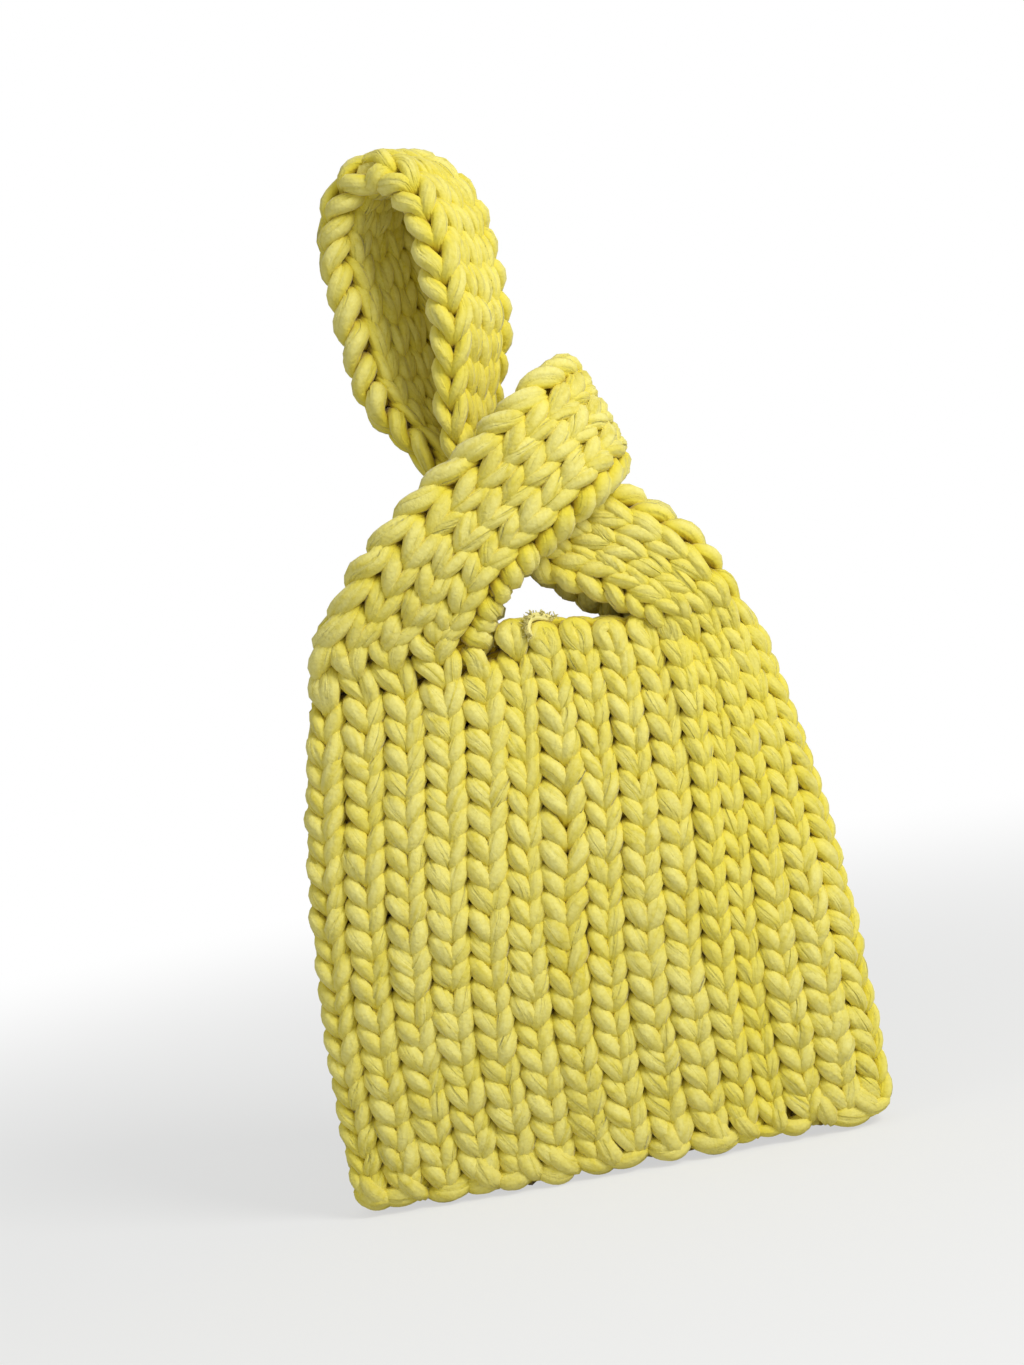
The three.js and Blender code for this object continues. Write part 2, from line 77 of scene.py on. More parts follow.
def angle(words, default_deg):
    """An angle, with its default given in degrees."""
    return FloatProperty(name=words, description=words, default=math.radians(default_deg), subtype="ANGLE")


def place(words, x_mm, z_mm):
    """A point in the plane of the bag, above the middle of its base."""
    spot = (x_mm * MM, z_mm * MM)
    return FloatVectorProperty(name=words, description=words, default=spot, size=2, subtype="XYZ_LENGTH")


def stretch(words, start, end):
    """Where something begins and ends along its way, as shares of it."""
    return FloatVectorProperty(name=words, description=words, default=(start, end), size=2)


def count(words, default):
    return IntProperty(name=words, description=words, default=default)


def share(words, default):
    return FloatProperty(name=words, description=words, default=default, subtype="FACTOR")


def colour(words, default_hex):
    return StringProperty(name=words, description=words + ", sRGB hex", default=default_hex)


class BagSizes(bpy.types.PropertyGroup):
    """Sizes of the pouch and its mouth."""

    base_width: length("Width of the sewn base", 200)
    shoulder_width: length("Width where the handles begin", 167)
    shoulder_height: length("Height where the handles begin", 180)
    belly_depth: length("Depth of the pouch at its fullest", 52)
    base_depth: length("Depth of the sewn base", 29)
    shoulder_depth: length("Depth where the handles begin", 41)
    fabric: length("Thickness of the knitting", 13)
    bottom_seam: length("Height of the sewn base edge", 9)
    side_seam: length("Gap that the side seams close", 4)
    side_inset: length("How far in from the sides the outermost yarn runs", 3.8)
    mouth_left: length("Left end of the mouth", -12.5)
    mouth_right: length("Right end of the mouth", 46.5)
    mouth_rise: length("Rise of the mouth's front to its left end", 6)
    side_draw: share("How late the sides draw in", 2.6)
    roundness: share("How square the pouch is in plan", 2.6)


class HandleSizes(bpy.types.PropertyGroup):
    """Sizes of the short handle, the long handle and the grip above the knot."""

    knot: place("Where the handles cross", 5, 246)
    short_rise: angle("Slope of the short handle's loop", 35)
    long_rise: angle("Slope of the long handle through the loop", 134)
    short_width: length("Width of the short handle", 45)
    short_reach: length("Reach of the short handle past the knot", 12)
    crest_turn: angle("Turn of the short loop's end against its slope", 15)
    short_outer_bend: place("Bend of the short handle's outer edge", -76, 226)
    short_inner_bend: place("Bend of the short handle's inner edge", -22, 207)
    loop_room: length("Room inside the short loop", 36)
    long_width: length("Width of the long handle", 41)
    long_outer_bend: place("Bend of the long handle's outer edge", 80, 215)
    long_inner_bend: place("Bend of the long handle's inner edge", 42, 198)
    long_back_drop: length("Drop of the long handle's back layer under the front one", 5)
    knot_width: length("Width of the long handle in the knot", 25)
    knot_fabric: length("Thickness of the knitting in the knot", 11)
    grip_width: length("Width of the grip", 40)
    grip_opening: length("Opening of the grip", 22)
    grip_height: length("Height of the grip above the knot", 110)
    grip_arch: length("Rise of the grip's arch", 28)
    grip_lean: angle("Lean of the grip", 94)
    grip_twist: angle("Twist of the grip", 60)
    grip_turn: angle("Turn of the grip's back layer to the front", 22)
    knot_twist: angle("Twist of the long handle in the knot", 45)
    front_parting: stretch("Where the grip's front layer begins to part and is apart", 0, 0.72)
    back_parting: stretch("Where the grip's back layer begins to part and is apart", -0.1, 0.4)
    clearance: length("Gap between neighbouring layers", 0.3)


class YarnLook(bpy.types.PropertyGroup):
    """Gauge and colours of the jersey yarn."""

    thickness: length("Thickness of the yarn in the panels", 7.4)
    strap_thickness: length("Thickness of the yarn in the handles", 6.8)
    row_pitch: length("Height of a row in the panels", 8.9)
    strap_row_pitch: length("Height of a row in the handles", 11.2)
    panel_columns: count("Stitches across a panel", 15)
    unevenness: share("Unevenness of the hand knitting", 1.0)
    seed: count("Seed of the unevenness", 7)
    lemon: colour("Colour of the yarn", "EDE48A")
    # Painted shade: the crease colour darkens the yarn along its creases, more in random patches, and also
    # gives random specks of tone
    crease_shade_and_tone: colour("Colour of the yarn's creases", "D3C344")
    # Painted shade: the flank colour tones the yarn's sides warmer and darker, as light off the yarn beside
    # them falls there, and the deep colour paints the yarn deep between the stitches a darker gold
    flank_shade: colour("Colour of the yarn's flanks, warmed by the yarn beside it", "E4D43E")
    deep: colour("Colour of the yarn deep between the stitches", "B0940E")
    seam: colour("Colour of the sewing yarn", "E8DD7C")
    frayed: colour("Colour of the cut end", "F4EA98")
    # Painted shade along the cut end's creases, more in random patches, and random specks of tone
    frayed_crease_shade_and_tone: colour("Colour of the cut end's creases", "E6D87C")


def bag():
    return bpy.context.scene.knot_bag_sizes


def handles():
    return bpy.context.scene.knot_bag_handles


def yarn():
    return bpy.context.scene.knot_bag_yarn


def linear(hex_colour):
    """Linear RGBA of an sRGB hex colour."""
    parts = [int(hex_colour[i:i + 2], 16) / 255 for i in (0, 2, 4)]
    return [c / 12.92 if c <= 0.04045 else ((c + 0.055) / 1.055) ** 2.4 for c in parts] + [1.0]


def mix(a, b, part):
    return a + (b - a) * part


def smooth(x, low, high):
    """0 below low, 1 above high, and an even ease between them."""
    t = np.clip((x - low) / (high - low), 0, 1)
    return t * t * (3 - 2 * t)


def unit(vectors):
    return vectors / np.linalg.norm(vectors, axis=-1, keepdims=True)


def chance(offset):
    """Random numbers that are the same in each run, for one piece."""
    return np.random.default_rng(yarn().seed + offset)


def upright(spot):
    """A point or direction in the plane of the bag, in three dimensions."""
    return np.array((spot[0], 0 * spot[0], spot[1]))


def link_new(name, data):
    """A new object with this data, in the scene."""
    made = bpy.data.objects.new(name, data)
    bpy.context.scene.collection.objects.link(made)
    return made


def run_along(points):
    """Length run so far at each of a row of points."""
    return np.concatenate(([0], np.cumsum(np.linalg.norm(np.diff(points, axis=0), axis=1))))


def spline(points, t):
    """Rows of a Catmull-Rom curve through rows of numbers, t from 0 to 1."""
    rows = np.vstack((2 * points[0] - points[1], points, 2 * points[-1] - points[-2]))
    spans = len(points) - 1
    along = np.clip(np.asarray(t, float), 0, 1) * spans
    i = np.minimum(along.astype(int), spans - 1)
    f = (along - i)[:, None]
    a, b, c, d = rows[i], rows[i + 1], rows[i + 2], rows[i + 3]
    rise = b * (2 * f**3 - 3 * f**2 + 1) + c * (3 * f**2 - 2 * f**3)
    return rise + (c - a) / 2 * (f**3 - 2 * f**2 + f) + (d - b) / 2 * (f**3 - f**2)


# Shape of the pouch, as in the frame

def body_half_width(z):
    b = bag()
    drawn_in = (b.base_width - b.shoulder_width) / 2
    return b.base_width / 2 - drawn_in * np.maximum(z / b.shoulder_height, 0) ** b.side_draw


def body_half_depth(z):
    b = bag()
    rise = np.clip(z / b.shoulder_height, 0, 1)
    belly = (b.belly_depth - (b.base_depth + b.shoulder_depth) / 2) / 2
    return mix(b.base_depth, b.shoulder_depth, rise) / 2 + belly * np.sin(math.pi * rise)


def body_point(u, z, side):
    """Middle of the knitting, u from the left side seam to the right one. side is 1 in front."""
    b = bag()
    turn = math.pi * (1 - np.clip(u, 0, 1))
    power = 2 / b.roundness
    bow = np.abs(np.sin(turn)) ** power
    reach = np.sign(np.cos(turn)) * np.abs(np.cos(turn)) ** power
    seam = b.side_seam / 2
    x = (body_half_width(z) - b.side_inset) * reach
    y = -(seam + (body_half_depth(z) - b.fabric / 2 - seam) * bow)
    return np.stack((x, y * side, z + 0 * x), axis=-1)


def body_place(x):
    """How far round the front a width lies at shoulder height."""
    b = bag()
    reach = abs(x) / (body_half_width(b.shoulder_height) - b.side_inset)
    turn = math.acos(math.copysign(reach ** (b.roundness / 2), x))
    return 1 - turn / math.pi


FINE = 12


def column_places(low, high, widths):
    """Places round the front that part a stretch of it into columns of these widths, FINE to a column."""
    u = np.linspace(low, high, 600)
    run = run_along(body_point(u, np.full_like(u, bag().shoulder_height), 1))
    edges = np.concatenate(([0], np.cumsum(widths)))
    fine = np.interp(np.arange(len(widths) * FINE + 1) / FINE, np.arange(len(edges)), edges)
    return np.interp(fine / edges[-1] * run[-1], run, u)


# Widths of the panel's columns: the eleventh and twelfth are bunched under the long handle
COLUMN_WIDTHS = (1, 1, 1, 1, 1, 1, 1, 1, 1.04, 1, 0.78, 0.72, 0.95, 1, 1)


class PanelCloth:
    """Where a stitch of a panel lies: c counts columns from the left seam, r counts rows up."""

    # The width of a column that gives the yarn its full thickness, and how slim and how full it gets
    EASY_WIDTH = 13.4 * MM
    FULLNESS = (0.78, 1.04)
    # Shares of the height over which the columns gather, and of the rows over which the mouth rises
    GATHERED = (0.25, 1.05)
    RISEN = (0.55, 1)
    # The soft fold that runs down from the right end of the front mouth, and the valleys beside it: the
    # column where each lies, how many columns wide it is and how high, and the shares of the rows over
    # which it grows
    FOLD = ((10.6, 0.55, 1.6 * MM), (9.9, 0.4, -1.3 * MM), (11.6, 0.5, -0.91 * MM))
    FOLDED = (-0.3, 0.6)

    def __init__(self, side):
        b, y = bag(), yarn()
        self.side = side
        self.columns = y.panel_columns
        self.third = self.columns // 3
        self.low = b.bottom_seam / 2
        self.rows = round((b.shoulder_height - self.low) / y.row_pitch)
        self.pitch = (b.shoulder_height - self.low) / self.rows
        left, right = body_place(b.mouth_left), body_place(b.mouth_right)
        even = [1] * self.third
        self.base_places = column_places(0, 1, COLUMN_WIDTHS)
        self.top_places = np.concatenate((
            column_places(0, left, even),
            column_places(left, right, even)[1:],
            column_places(right, 1, even)[1:],
        ))

    def fullness(self, c, r):
        """Thinner yarn where the columns are gathered."""
        wide = np.linalg.norm(self.point(c + 0.5, r) - self.point(c - 0.5, r), axis=1)
        return np.clip(wide / self.EASY_WIDTH, *self.FULLNESS)

    def rise(self, c, r):
        """The front of the mouth climbs to its left end, and draws the rows under it up."""
        if self.side < 0:
            return np.zeros_like(c)
        crest = self.third + 0.5
        climb = smooth(c, crest - 2, crest) * (1 - smooth(c, crest, 2 * self.third))
        return bag().mouth_rise * climb * smooth(r / self.rows, *self.RISEN)

    def point(self, c, r):
        z = self.low + r * self.pitch + self.rise(c, r)
        marks = np.arange(self.columns * FINE + 1) / FINE
        gathered = smooth(z / bag().shoulder_height, *self.GATHERED)
        u = mix(np.interp(c, marks, self.base_places), np.interp(c, marks, self.top_places), gathered)
        return body_point(u, z, self.side)

    def ridge(self, c, r):
        """Height of the soft fold."""
        if self.side < 0:
            return np.zeros_like(c)
        folds = sum(height * np.exp(-((c - at) / wide) ** 2) for at, wide, height in self.FOLD)
        return folds * smooth(r / self.rows, *self.FOLDED)

    def lay(self, c, r, w):
        """Points at height w above the middle of the knitting."""
        step = 0.05
        across = self.point(c + step, r) - self.point(c - step, r)
        along = self.point(c, r + step) - self.point(c, r - step)
        normal = unit(np.cross(across, along)) * self.side
        return self.point(c, r) + normal * (w + self.ridge(c, r))[:, None]


# Shape of the handles, as in the frame

def heading(turn):
    return np.array((math.cos(turn), math.sin(turn)))


def station(middle, half, offset, fabric, twist, turn=0):
    """Middle and half width in the plane of the bag, the layer's offset from it, its fabric and twist,
    and how far the back layer turns away from that twist."""
    return np.array((*middle, *half, offset, fabric, twist, turn))


def bent_edge(foot, bend, top, part):
    """A quadratic curve from a handle's foot to its top."""
    foot, bend, top = (np.array(spot) for spot in (foot, bend, top))
    return foot * (1 - part) ** 2 + bend * 2 * part * (1 - part) + top * part**2


class Strap:
    """The middle of one layer of a handle: u runs across it and t from its foot to its end."""

    ROOT_STRETCH = 1.6

    def __init__(self, stations, side, root=None):
        self.stations = np.array(stations)
        self.side = side
        self.root = root

    def read(self, t):
        return spline(self.stations, t)

    def width(self, t):
        rows = self.read(t)
        return 2 * np.hypot(rows[:, 2], rows[:, 3])

    def fabric(self, t):
        return self.read(t)[:, 5]

    def mid(self, u, t):
        rows = self.read(t)
        half = np.hypot(rows[:, 2], rows[:, 3])
        twist = rows[:, 6]
        facing = twist - rows[:, 7] if self.side < 0 else twist
        middle = upright(rows.T).T
        away = upright(rows[:, 2:4].T / half * np.sin(twist)).T
        away[:, 1] = -np.cos(twist)
        across = upright(rows[:, 2:4].T * np.cos(facing)).T
        across[:, 1] = half * np.sin(facing)
        flat = middle + away * (self.side * rows[:, 4])[:, None] + across * (2 * u - 1)[:, None]
        if self.root is None:
            return flat
        still = 1 - smooth(t * (len(self.stations) - 1), 0, self.ROOT_STRETCH)
        height = np.full_like(t, bag().shoulder_height)
        held = body_point(mix(self.root[0], self.root[1], u), height, self.side)
        held = held + middle - upright(self.stations[0])
        return mix(flat, held, still[:, None])

    def frame(self, u, t):
        """Middle, unit directions across and along, and unit normal away from the other layer."""
        step = 1e-3
        early, late = np.maximum(t - step, 0), np.minimum(t + step, 1)
        across = unit(self.mid(u + step, t) - self.mid(u - step, t))
        along = unit(self.mid(u, late) - self.mid(u, early))
        normal = unit(np.cross(across, along)) * self.side
        return self.mid(u, t), across, along, normal


def from_shoulder(left, right, offset, parts):
    """Stations of a handle that leaves its shoulder between two bent edges, each with its part of the way
    from the panel's depth to the layer's offset."""
    fabric = bag().fabric
    root_depth = (bag().shoulder_depth - fabric) / 2
    found = []
    for i, part in enumerate(parts):
        along = i / (len(parts) - 1)
        a, b = bent_edge(*left, along), bent_edge(*right, along)
        found.append(station((a + b) / 2, (b - a) / 2, mix(root_depth, offset, part), fabric, 0))
    return found


def shoulder_edge():
    """How far out the outer edges of the handles begin."""
    return body_half_width(bag().shoulder_height) - bag().fabric / 2


# How a handle's layers go from the panel's depth to their own offset, from the shoulder to the knot
SHORT_SPREAD = (0, 0.15, 0.75, 1)
LONG_SPREAD = (0, 0.1, 0.6, 1)
# Parts of the way up to the grip's arch, and angles round an arch
GRIP_PARTS = (0, 0.2, 0.4, 0.6, 0.8)
ARCH_ANGLES = (0, 22.5, 45, 67.5, 90)


def short_strap(side):
    b, h = bag(), handles()
    along, across = heading(h.short_rise), heading(h.short_rise - math.pi / 2)
    knot = np.array(h.knot)
    half = across * h.short_width / 2
    offset = (h.loop_room + b.fabric) / 2
    foot = knot + along * h.short_reach
    inner = b.mouth_left - h.clearance
    left = [(-shoulder_edge(), b.shoulder_height), h.short_outer_bend, knot - half]
    right = [(inner, b.shoulder_height), h.short_inner_bend, knot + half]
    stations = from_shoulder(left, right, offset, SHORT_SPREAD)
    for degrees in ARCH_ANGLES:
        turn = math.radians(degrees)
        middle = foot + along * offset * math.sin(turn)
        end_half = heading(h.short_rise - math.pi / 2 - h.crest_turn * math.sin(turn)) * h.short_width / 2
        stations.append(station(middle, end_half, offset * math.cos(turn), b.fabric, 0))
    return Strap(stations, side, (0.0, body_place(inner)))


def layer_offset(fabric):
    return fabric / 2 + handles().clearance


def grip_pivot():
    h = handles()
    return np.array(h.knot) + heading(h.long_rise) * h.short_width / 2


# Which way the inner edge of the long handle's back layer drops. Its middle moves half as far as its bend.
BACK_DROP_WAY = np.array((-0.6, -0.8))


def long_strap(side):
    b, h = bag(), handles()
    along, across = heading(h.long_rise), heading(h.long_rise - math.pi / 2)
    knot = np.array(h.knot)
    entry = knot - along * h.short_width / 2
    half = across * h.long_width / 2
    inner = b.mouth_right + h.clearance
    inner_bend = np.array(h.long_inner_bend)
    if side < 0:
        inner_bend = inner_bend + 2 * h.long_back_drop * BACK_DROP_WAY
    left = [(inner, b.shoulder_height), inner_bend, entry - half]
    right = [(shoulder_edge(), b.shoulder_height), h.long_outer_bend, entry + half]
    stations = from_shoulder(left, right, layer_offset(b.fabric), LONG_SPREAD)
    for middle, part in ((knot, 0.65), (grip_pivot(), 1)):
        fabric = mix(b.fabric, h.knot_fabric, part)
        drawn = across * mix(h.long_width, h.knot_width, part) / 2
        stations.append(station(middle, drawn, layer_offset(fabric), fabric, h.knot_twist * part**2))
    return Strap(stations, side, (body_place(inner), 1.0))


def grip_strap(side):
    b, h = bag(), handles()
    up, across = heading(h.grip_lean), heading(h.grip_lean - math.pi / 2)
    arch_foot = h.grip_height - h.grip_arch - b.fabric / 2
    wide = (h.grip_opening + b.fabric) / 2
    narrow = layer_offset(h.knot_fabric)

    def grip_station(climb, opened, offset, turn):
        half = across * mix(h.knot_width, h.grip_width, opened) / 2
        fabric = mix(h.knot_fabric, b.fabric, opened)
        twist = mix(h.knot_twist, h.grip_twist, opened)
        return station(grip_pivot() + up * climb, half, offset, fabric, twist, turn)

    stations = [grip_station(-math.hypot(h.knot_width, 2 * h.knot_fabric) / 2, 0, narrow, 0)]
    parting = h.front_parting if side > 0 else h.back_parting
    for part in GRIP_PARTS:
        opened = float(smooth(part, *parting))
        offset = mix(narrow, wide, opened)
        stations.append(grip_station(arch_foot * part, opened, offset, h.grip_turn * opened))
    for degrees in ARCH_ANGLES:
        climb = arch_foot + h.grip_arch * math.sin(math.radians(degrees))
        part = math.cos(math.radians(degrees))
        stations.append(grip_station(climb, 1, wide * part, h.grip_turn * part**2))
    return Strap(stations, side)


# Widths of the columns round a handle. Five go on from the panel, and the rest close the inner face.
HANDLE_COLUMNS = (1.5, 1.1, 1.1, 1.1, 1.5, 0.8, 0.8, 0.8)
GRIP_COLUMNS = (1.4, 0.87, 0.87, 0.87, 1.4, 0.87, 0.87, 0.87)


class StrapCloth:
    """Where a stitch of a handle lies: c counts columns round the strap, r counts rows along it."""

    # Rows over which the stitches go over from the panel's columns to a ring round the strap
    ROOT_ROWS = 2.4
    EASY_WIDTH = 11 * MM
    FULLNESS = (0.7, 1.05)
    # Fuller yarn along the edges, and how far from them it fades out
    EDGE_FULLNESS = 1.18
    EDGE_FADE = (3 * MM, 8 * MM)
    # Least sizes of the ring's round ends and of half its flat part
    LEAST_THICK = 1.5 * MM
    LEAST_FLAT = 1 * MM

    def __init__(self, strap, widths):
        y = yarn()
        self.strap = strap
        self.columns = len(widths)
        self.edges = np.concatenate(([0], np.cumsum(widths))) / sum(widths)
        self.t = np.linspace(0, 1, 300)
        middle, _, _, normal = strap.frame(np.full_like(self.t, 0.5), self.t)
        self.run = run_along(middle + normal * (strap.fabric(self.t) / 2)[:, None])
        self.rows = max(1, round(self.run[-1] / y.strap_row_pitch))
        self.pitch = self.run[-1] / self.rows
        self.radius = y.strap_thickness / 2
        self.outer = y.panel_columns // 3
        if strap.root is not None:
            low, high = strap.root
            self.root_u = (column_places(low, high, [1] * self.outer) - low) / (high - low)

    def step(self, r):
        return np.interp(r * self.pitch, self.run, self.t)

    def round_share(self, c):
        """How far round the strap a column lies, from the middle of its left edge."""
        whole = np.mod(c, self.columns)
        middle = np.interp(self.outer / 2, np.arange(self.columns + 1), self.edges)
        return np.mod(np.interp(whole, np.arange(self.columns + 1), self.edges) - middle + 0.25, 1)

    def ring(self, t):
        """Half the flat part and the half thickness of the strap's middle line, and its length round."""
        half = self.strap.width(t) / 2
        thick = np.maximum(self.strap.fabric(t) / 2 - self.radius, self.LEAST_THICK)
        flat = np.maximum(half - self.radius - thick, self.LEAST_FLAT)
        return flat, thick, 4 * flat + 2 * math.pi * thick

    def fullness(self, c, r):
        """Thinner yarn where the strap is drawn together, fuller along its edges."""
        around = self.ring(self.step(r))[2]
        wide = around * (self.edges[self.outer] - self.edges[0]) / self.outer
        place_round = self.round_share(c)
        from_edge = np.abs(np.mod(place_round + 0.25, 0.5) - 0.25) * around
        edge = mix(self.EDGE_FULLNESS, 1, smooth(from_edge, *self.EDGE_FADE))
        return np.clip(wide / self.EASY_WIDTH, *self.FULLNESS) * edge

    def section(self, c, r, t):
        """Place and normal on the flattened ring of stitches: across the strap and out from it."""
        flat, thick, around = self.ring(t)
        s = self.round_share(c) * around
        quarter = math.pi * thick / 2
        turn_in = np.clip(s, 0, quarter)
        front = np.clip(s - quarter, 0, 2 * flat)
        right = np.clip(s - quarter - 2 * flat, 0, 2 * quarter)
        back = np.clip(s - 3 * quarter - 2 * flat, 0, 2 * flat)
        turn_out = np.clip(s - 3 * quarter - 4 * flat, 0, quarter)
        turn = math.pi - (turn_in + right + turn_out) / thick
        nx, nh = np.cos(turn), np.sin(turn)
        x = -flat + front - back + thick * nx
        h = thick * nh
        half = self.strap.width(t) / 2
        if self.strap.root is not None:
            still = 1 - smooth(r, 0, self.ROOT_ROWS)
            ring_c = np.mod(c, self.columns)
            outer = ring_c <= self.outer
            inner_share = (self.columns - ring_c) / (self.columns - self.outer) * self.outer
            marks = np.arange(self.outer * FINE + 1) / FINE
            root_x = (2 * np.interp(np.where(outer, ring_c, inner_share), marks, self.root_u) - 1) * half
            x = mix(x, root_x, still)
            h = mix(h, np.where(outer, 0, -2 * self.radius), still)
            nx = nx * (1 - still)
            nh = mix(nh, np.where(outer, 1, -1), still)
        size = np.hypot(nx, nh)
        return x / (2 * half) + 0.5, h, nx / size, nh / size

    def lay(self, c, r, w):
        t = self.step(r)
        past = r * self.pitch - np.clip(r * self.pitch, 0, self.run[-1])
        u, h, nx, nh = self.section(c, r, t)
        middle, across, along, normal = self.strap.frame(u, t)
        out = across * nx[:, None] + normal * nh[:, None]
        return middle + normal * h[:, None] + out * w[:, None] + along * past[:, None]


class EdgeCloth:
    """Where a chain of stitches lies along an edge: r counts links along it and c runs across it."""

    def __init__(self, line, out, width, links):
        run = run_along(line)
        self.line = line
        self.width = width
        self.links = links
        self.pitch = run[-1] / links
        self.marks = run / self.pitch
        self.along = unit(np.gradient(line, axis=0))
        self.across = unit(np.cross(self.along, out))
        self.out = np.cross(self.across, self.along)

    def fullness(self, c, r):
        return np.ones_like(c)

    def read(self, rows, r):
        return np.stack([np.interp(r, self.marks, rows[:, i]) for i in range(3)], axis=-1)

    def lay(self, c, r, w):
        past = (r - np.clip(r, 0, self.links)) * self.pitch
        aside = (c - 0.5) * self.width
        spot = self.read(self.line, r) + self.read(self.along, r) * past[:, None]
        return spot + self.read(self.across, r) * aside[:, None] + self.read(self.out, r) * w[:, None]


# The yarn

# One stitch of stockinette from its knit side: across in columns, up in rows, out in yarn thicknesses,
# how full the yarn is there, and how many steps the curve takes to the next point. The left leg is
# fuller and leans more, the right leg is slim and steep, and the head and the foot hide behind.
STITCH = np.array((
    (-0.50, -0.30, -0.40, 0.70, 1),
    (-0.02, -0.26, -0.26, 0.66, 2),
    (0.09, 0.00, 0.06, 0.74, 2),
    (0.03, 0.34, 0.29, 0.93, 2),
    (-0.12, 0.73, 0.37, 1.04, 2),
    (-0.26, 1.09, 0.20, 1.01, 2),
    (-0.27, 1.33, -0.18, 0.82, 1),
    (0.03, 1.40, -0.36, 0.74, 1),
    (0.37, 1.37, -0.20, 0.78, 2),
    (0.41, 1.11, 0.14, 0.91, 2),
    (0.37, 0.76, 0.34, 0.96, 2),
    (0.28, 0.38, 0.36, 0.92, 2),
    (0.20, 0.02, 0.16, 0.77, 2),
    (0.23, -0.26, -0.26, 0.66, 1),
))

# A stitch of the bound-off row: its fat head shows above its legs
BIND_OFF = np.array((
    (-0.50, -0.30, -0.40, 0.70, 1),
    (-0.02, -0.26, -0.26, 0.66, 2),
    (0.09, 0.00, 0.08, 0.76, 2),
    (0.02, 0.30, 0.33, 0.98, 2),
    (-0.12, 0.64, 0.42, 1.12, 2),
    (-0.19, 0.89, 0.36, 1.18, 2),
    (-0.12, 1.08, 0.18, 1.20, 2),
    (0.05, 1.14, 0.06, 1.20, 2),
    (0.22, 1.07, 0.14, 1.16, 2),
    (0.29, 0.85, 0.29, 1.06, 2),
    (0.28, 0.60, 0.38, 1.02, 2),
    (0.25, 0.32, 0.37, 0.94, 2),
    (0.19, 0.02, 0.16, 0.78, 2),
    (0.23, -0.26, -0.26, 0.66, 1),
))

# A loop of the cast-on edge: a short bar along the foot of a column, tucked in at both ends
CAST_ON = np.array((
    (-0.62, 0.30, -0.45, 0.70, 2),
    (-0.50, 0.12, -0.02, 0.86, 3),
    (-0.28, -0.04, 0.34, 1.02, 3),
    (0.02, -0.10, 0.46, 1.10, 3),
    (0.30, -0.02, 0.34, 1.02, 3),
    (0.50, 0.16, -0.02, 0.84, 2),
    (0.60, 0.34, -0.45, 0.70, 1),
))

# Half of a whip stitch over the base, from its hole in the panel down to the base
WHIP = np.array((
    (-0.16, 1.02, -0.30, 0.70, 2),
    (-0.14, 0.86, 0.22, 0.88, 3),
    (-0.07, 0.52, 0.52, 1.02, 3),
    (0.02, 0.16, 0.54, 1.04, 3),
    (0.10, -0.12, 0.20, 0.96, 3),
))


class Strand(NamedTuple):
    """A length of yarn: its middle line and radius, and for a knitted one how far out of the knitting
    it lies, in yarn thicknesses, and which way is out."""

    points: np.ndarray
    radius: np.ndarray
    closed: bool = False
    height: np.ndarray = None
    outward: np.ndarray = None


def uneven(rng, spread, size=None):
    return rng.normal(0, spread, size) * yarn().unevenness


# Unevenness of hand knitting: how far a column's stitches lie off their row, how far a stitch as a whole
# and each of its points stray across, up and out, and how much each leg's fullness varies
COLUMN_DRIFT = 0.09
STRAY = ((0.02, 0.012), (0.04, 0.015), (0.04, 0.025))
LEGS = ((slice(1, 7), 0.05), (slice(8, None), 0.06))


def course(template, row, columns, drift, rng):
    """Control points of one row of stitches, with the unevenness of hand knitting."""
    found = []
    for column in columns:
        stitch = template.copy()
        stitch[:, 0] += column + 0.5
        stitch[:, 1] += row
        stitch[1:, 1] += drift[column]
        for axis, (whole, each) in enumerate(STRAY):
            stitch[1:, axis] += uneven(rng, whole) + uneven(rng, each, len(stitch) - 1)
        for leg, spread in LEGS:
            stitch[leg, 3] *= 1 + uneven(rng, spread)
        found.append(stitch)
    return np.vstack(found)


def densify(points, closed):
    """The curve through control points, with each point's own number of steps to the next."""
    if closed:
        points = np.vstack((points[-2:], points, points[:3]))
    spans = len(points) - 1
    first, last = (2, spans - 2) if closed else (0, spans)
    t = [i + k / points[i, 4] for i in range(first, last) for k in range(int(points[i, 4]))]
    if not closed:
        t.append(spans)
    return spline(points[:, :4], np.array(t) / spans)


def laid(cloth, controls, closed=False, thickness=None):
    """A strand of yarn through control points on a cloth."""
    thickness = thickness or yarn().thickness
    c, r, out, full = densify(controls, closed).T
    room = cloth.fullness(c, r)
    height = out * room
    points = cloth.lay(c, r, height * thickness)
    outward = unit(cloth.lay(c, r, (height + 1) * thickness) - points)
    return Strand(points, full * room * thickness / 2, closed, height, outward)


def knit(cloth, rows, columns, closed, thickness, rng, template=STITCH):
    """Strands of yarn for rows of stitches on a cloth."""
    drift = uneven(rng, COLUMN_DRIFT, max(columns) + 1)
    courses = [course(template, row, columns, drift, rng) for row in rows]
    return [laid(cloth, controls, closed, thickness) for controls in courses]


# The yarn is a strip of jersey rolled up on itself. Its section has three soft lobes, with a crease
# between each two, and the crease where the strip's edges meet is the deepest. The section turns to and
# fro along the yarn in waves of these lengths and swings.
PROFILE_DEGREES = (0, 17, 60, 103, 120, 137, 180, 223, 240, 257, 300, 343)
LOBES = 0.04
CREASES = {0: 0.2, 120: 0.1, 240: 0.15}
TWIST_WAVES = ((140 * MM, 0.8), (64 * MM, 0.6))


def yarn_profile():
    """Closed section of the yarn, of radius 1."""
    data = bpy.data.curves.new("yarn_profile", "CURVE")
    data.dimensions = "2D"
    ring = data.splines.new("POLY")
    ring.points.add(len(PROFILE_DEGREES) - 1)
    for point, degrees in zip(ring.points, PROFILE_DEGREES):
        turn = math.radians(degrees)
        reach = 1.0 - LOBES * math.cos(3 * turn) - CREASES.get(degrees, 0)
        point.co = (reach * math.cos(turn), reach * math.sin(turn), 0, 1)
    ring.use_cyclic_u = True
    return link_new("yarn_profile", data)


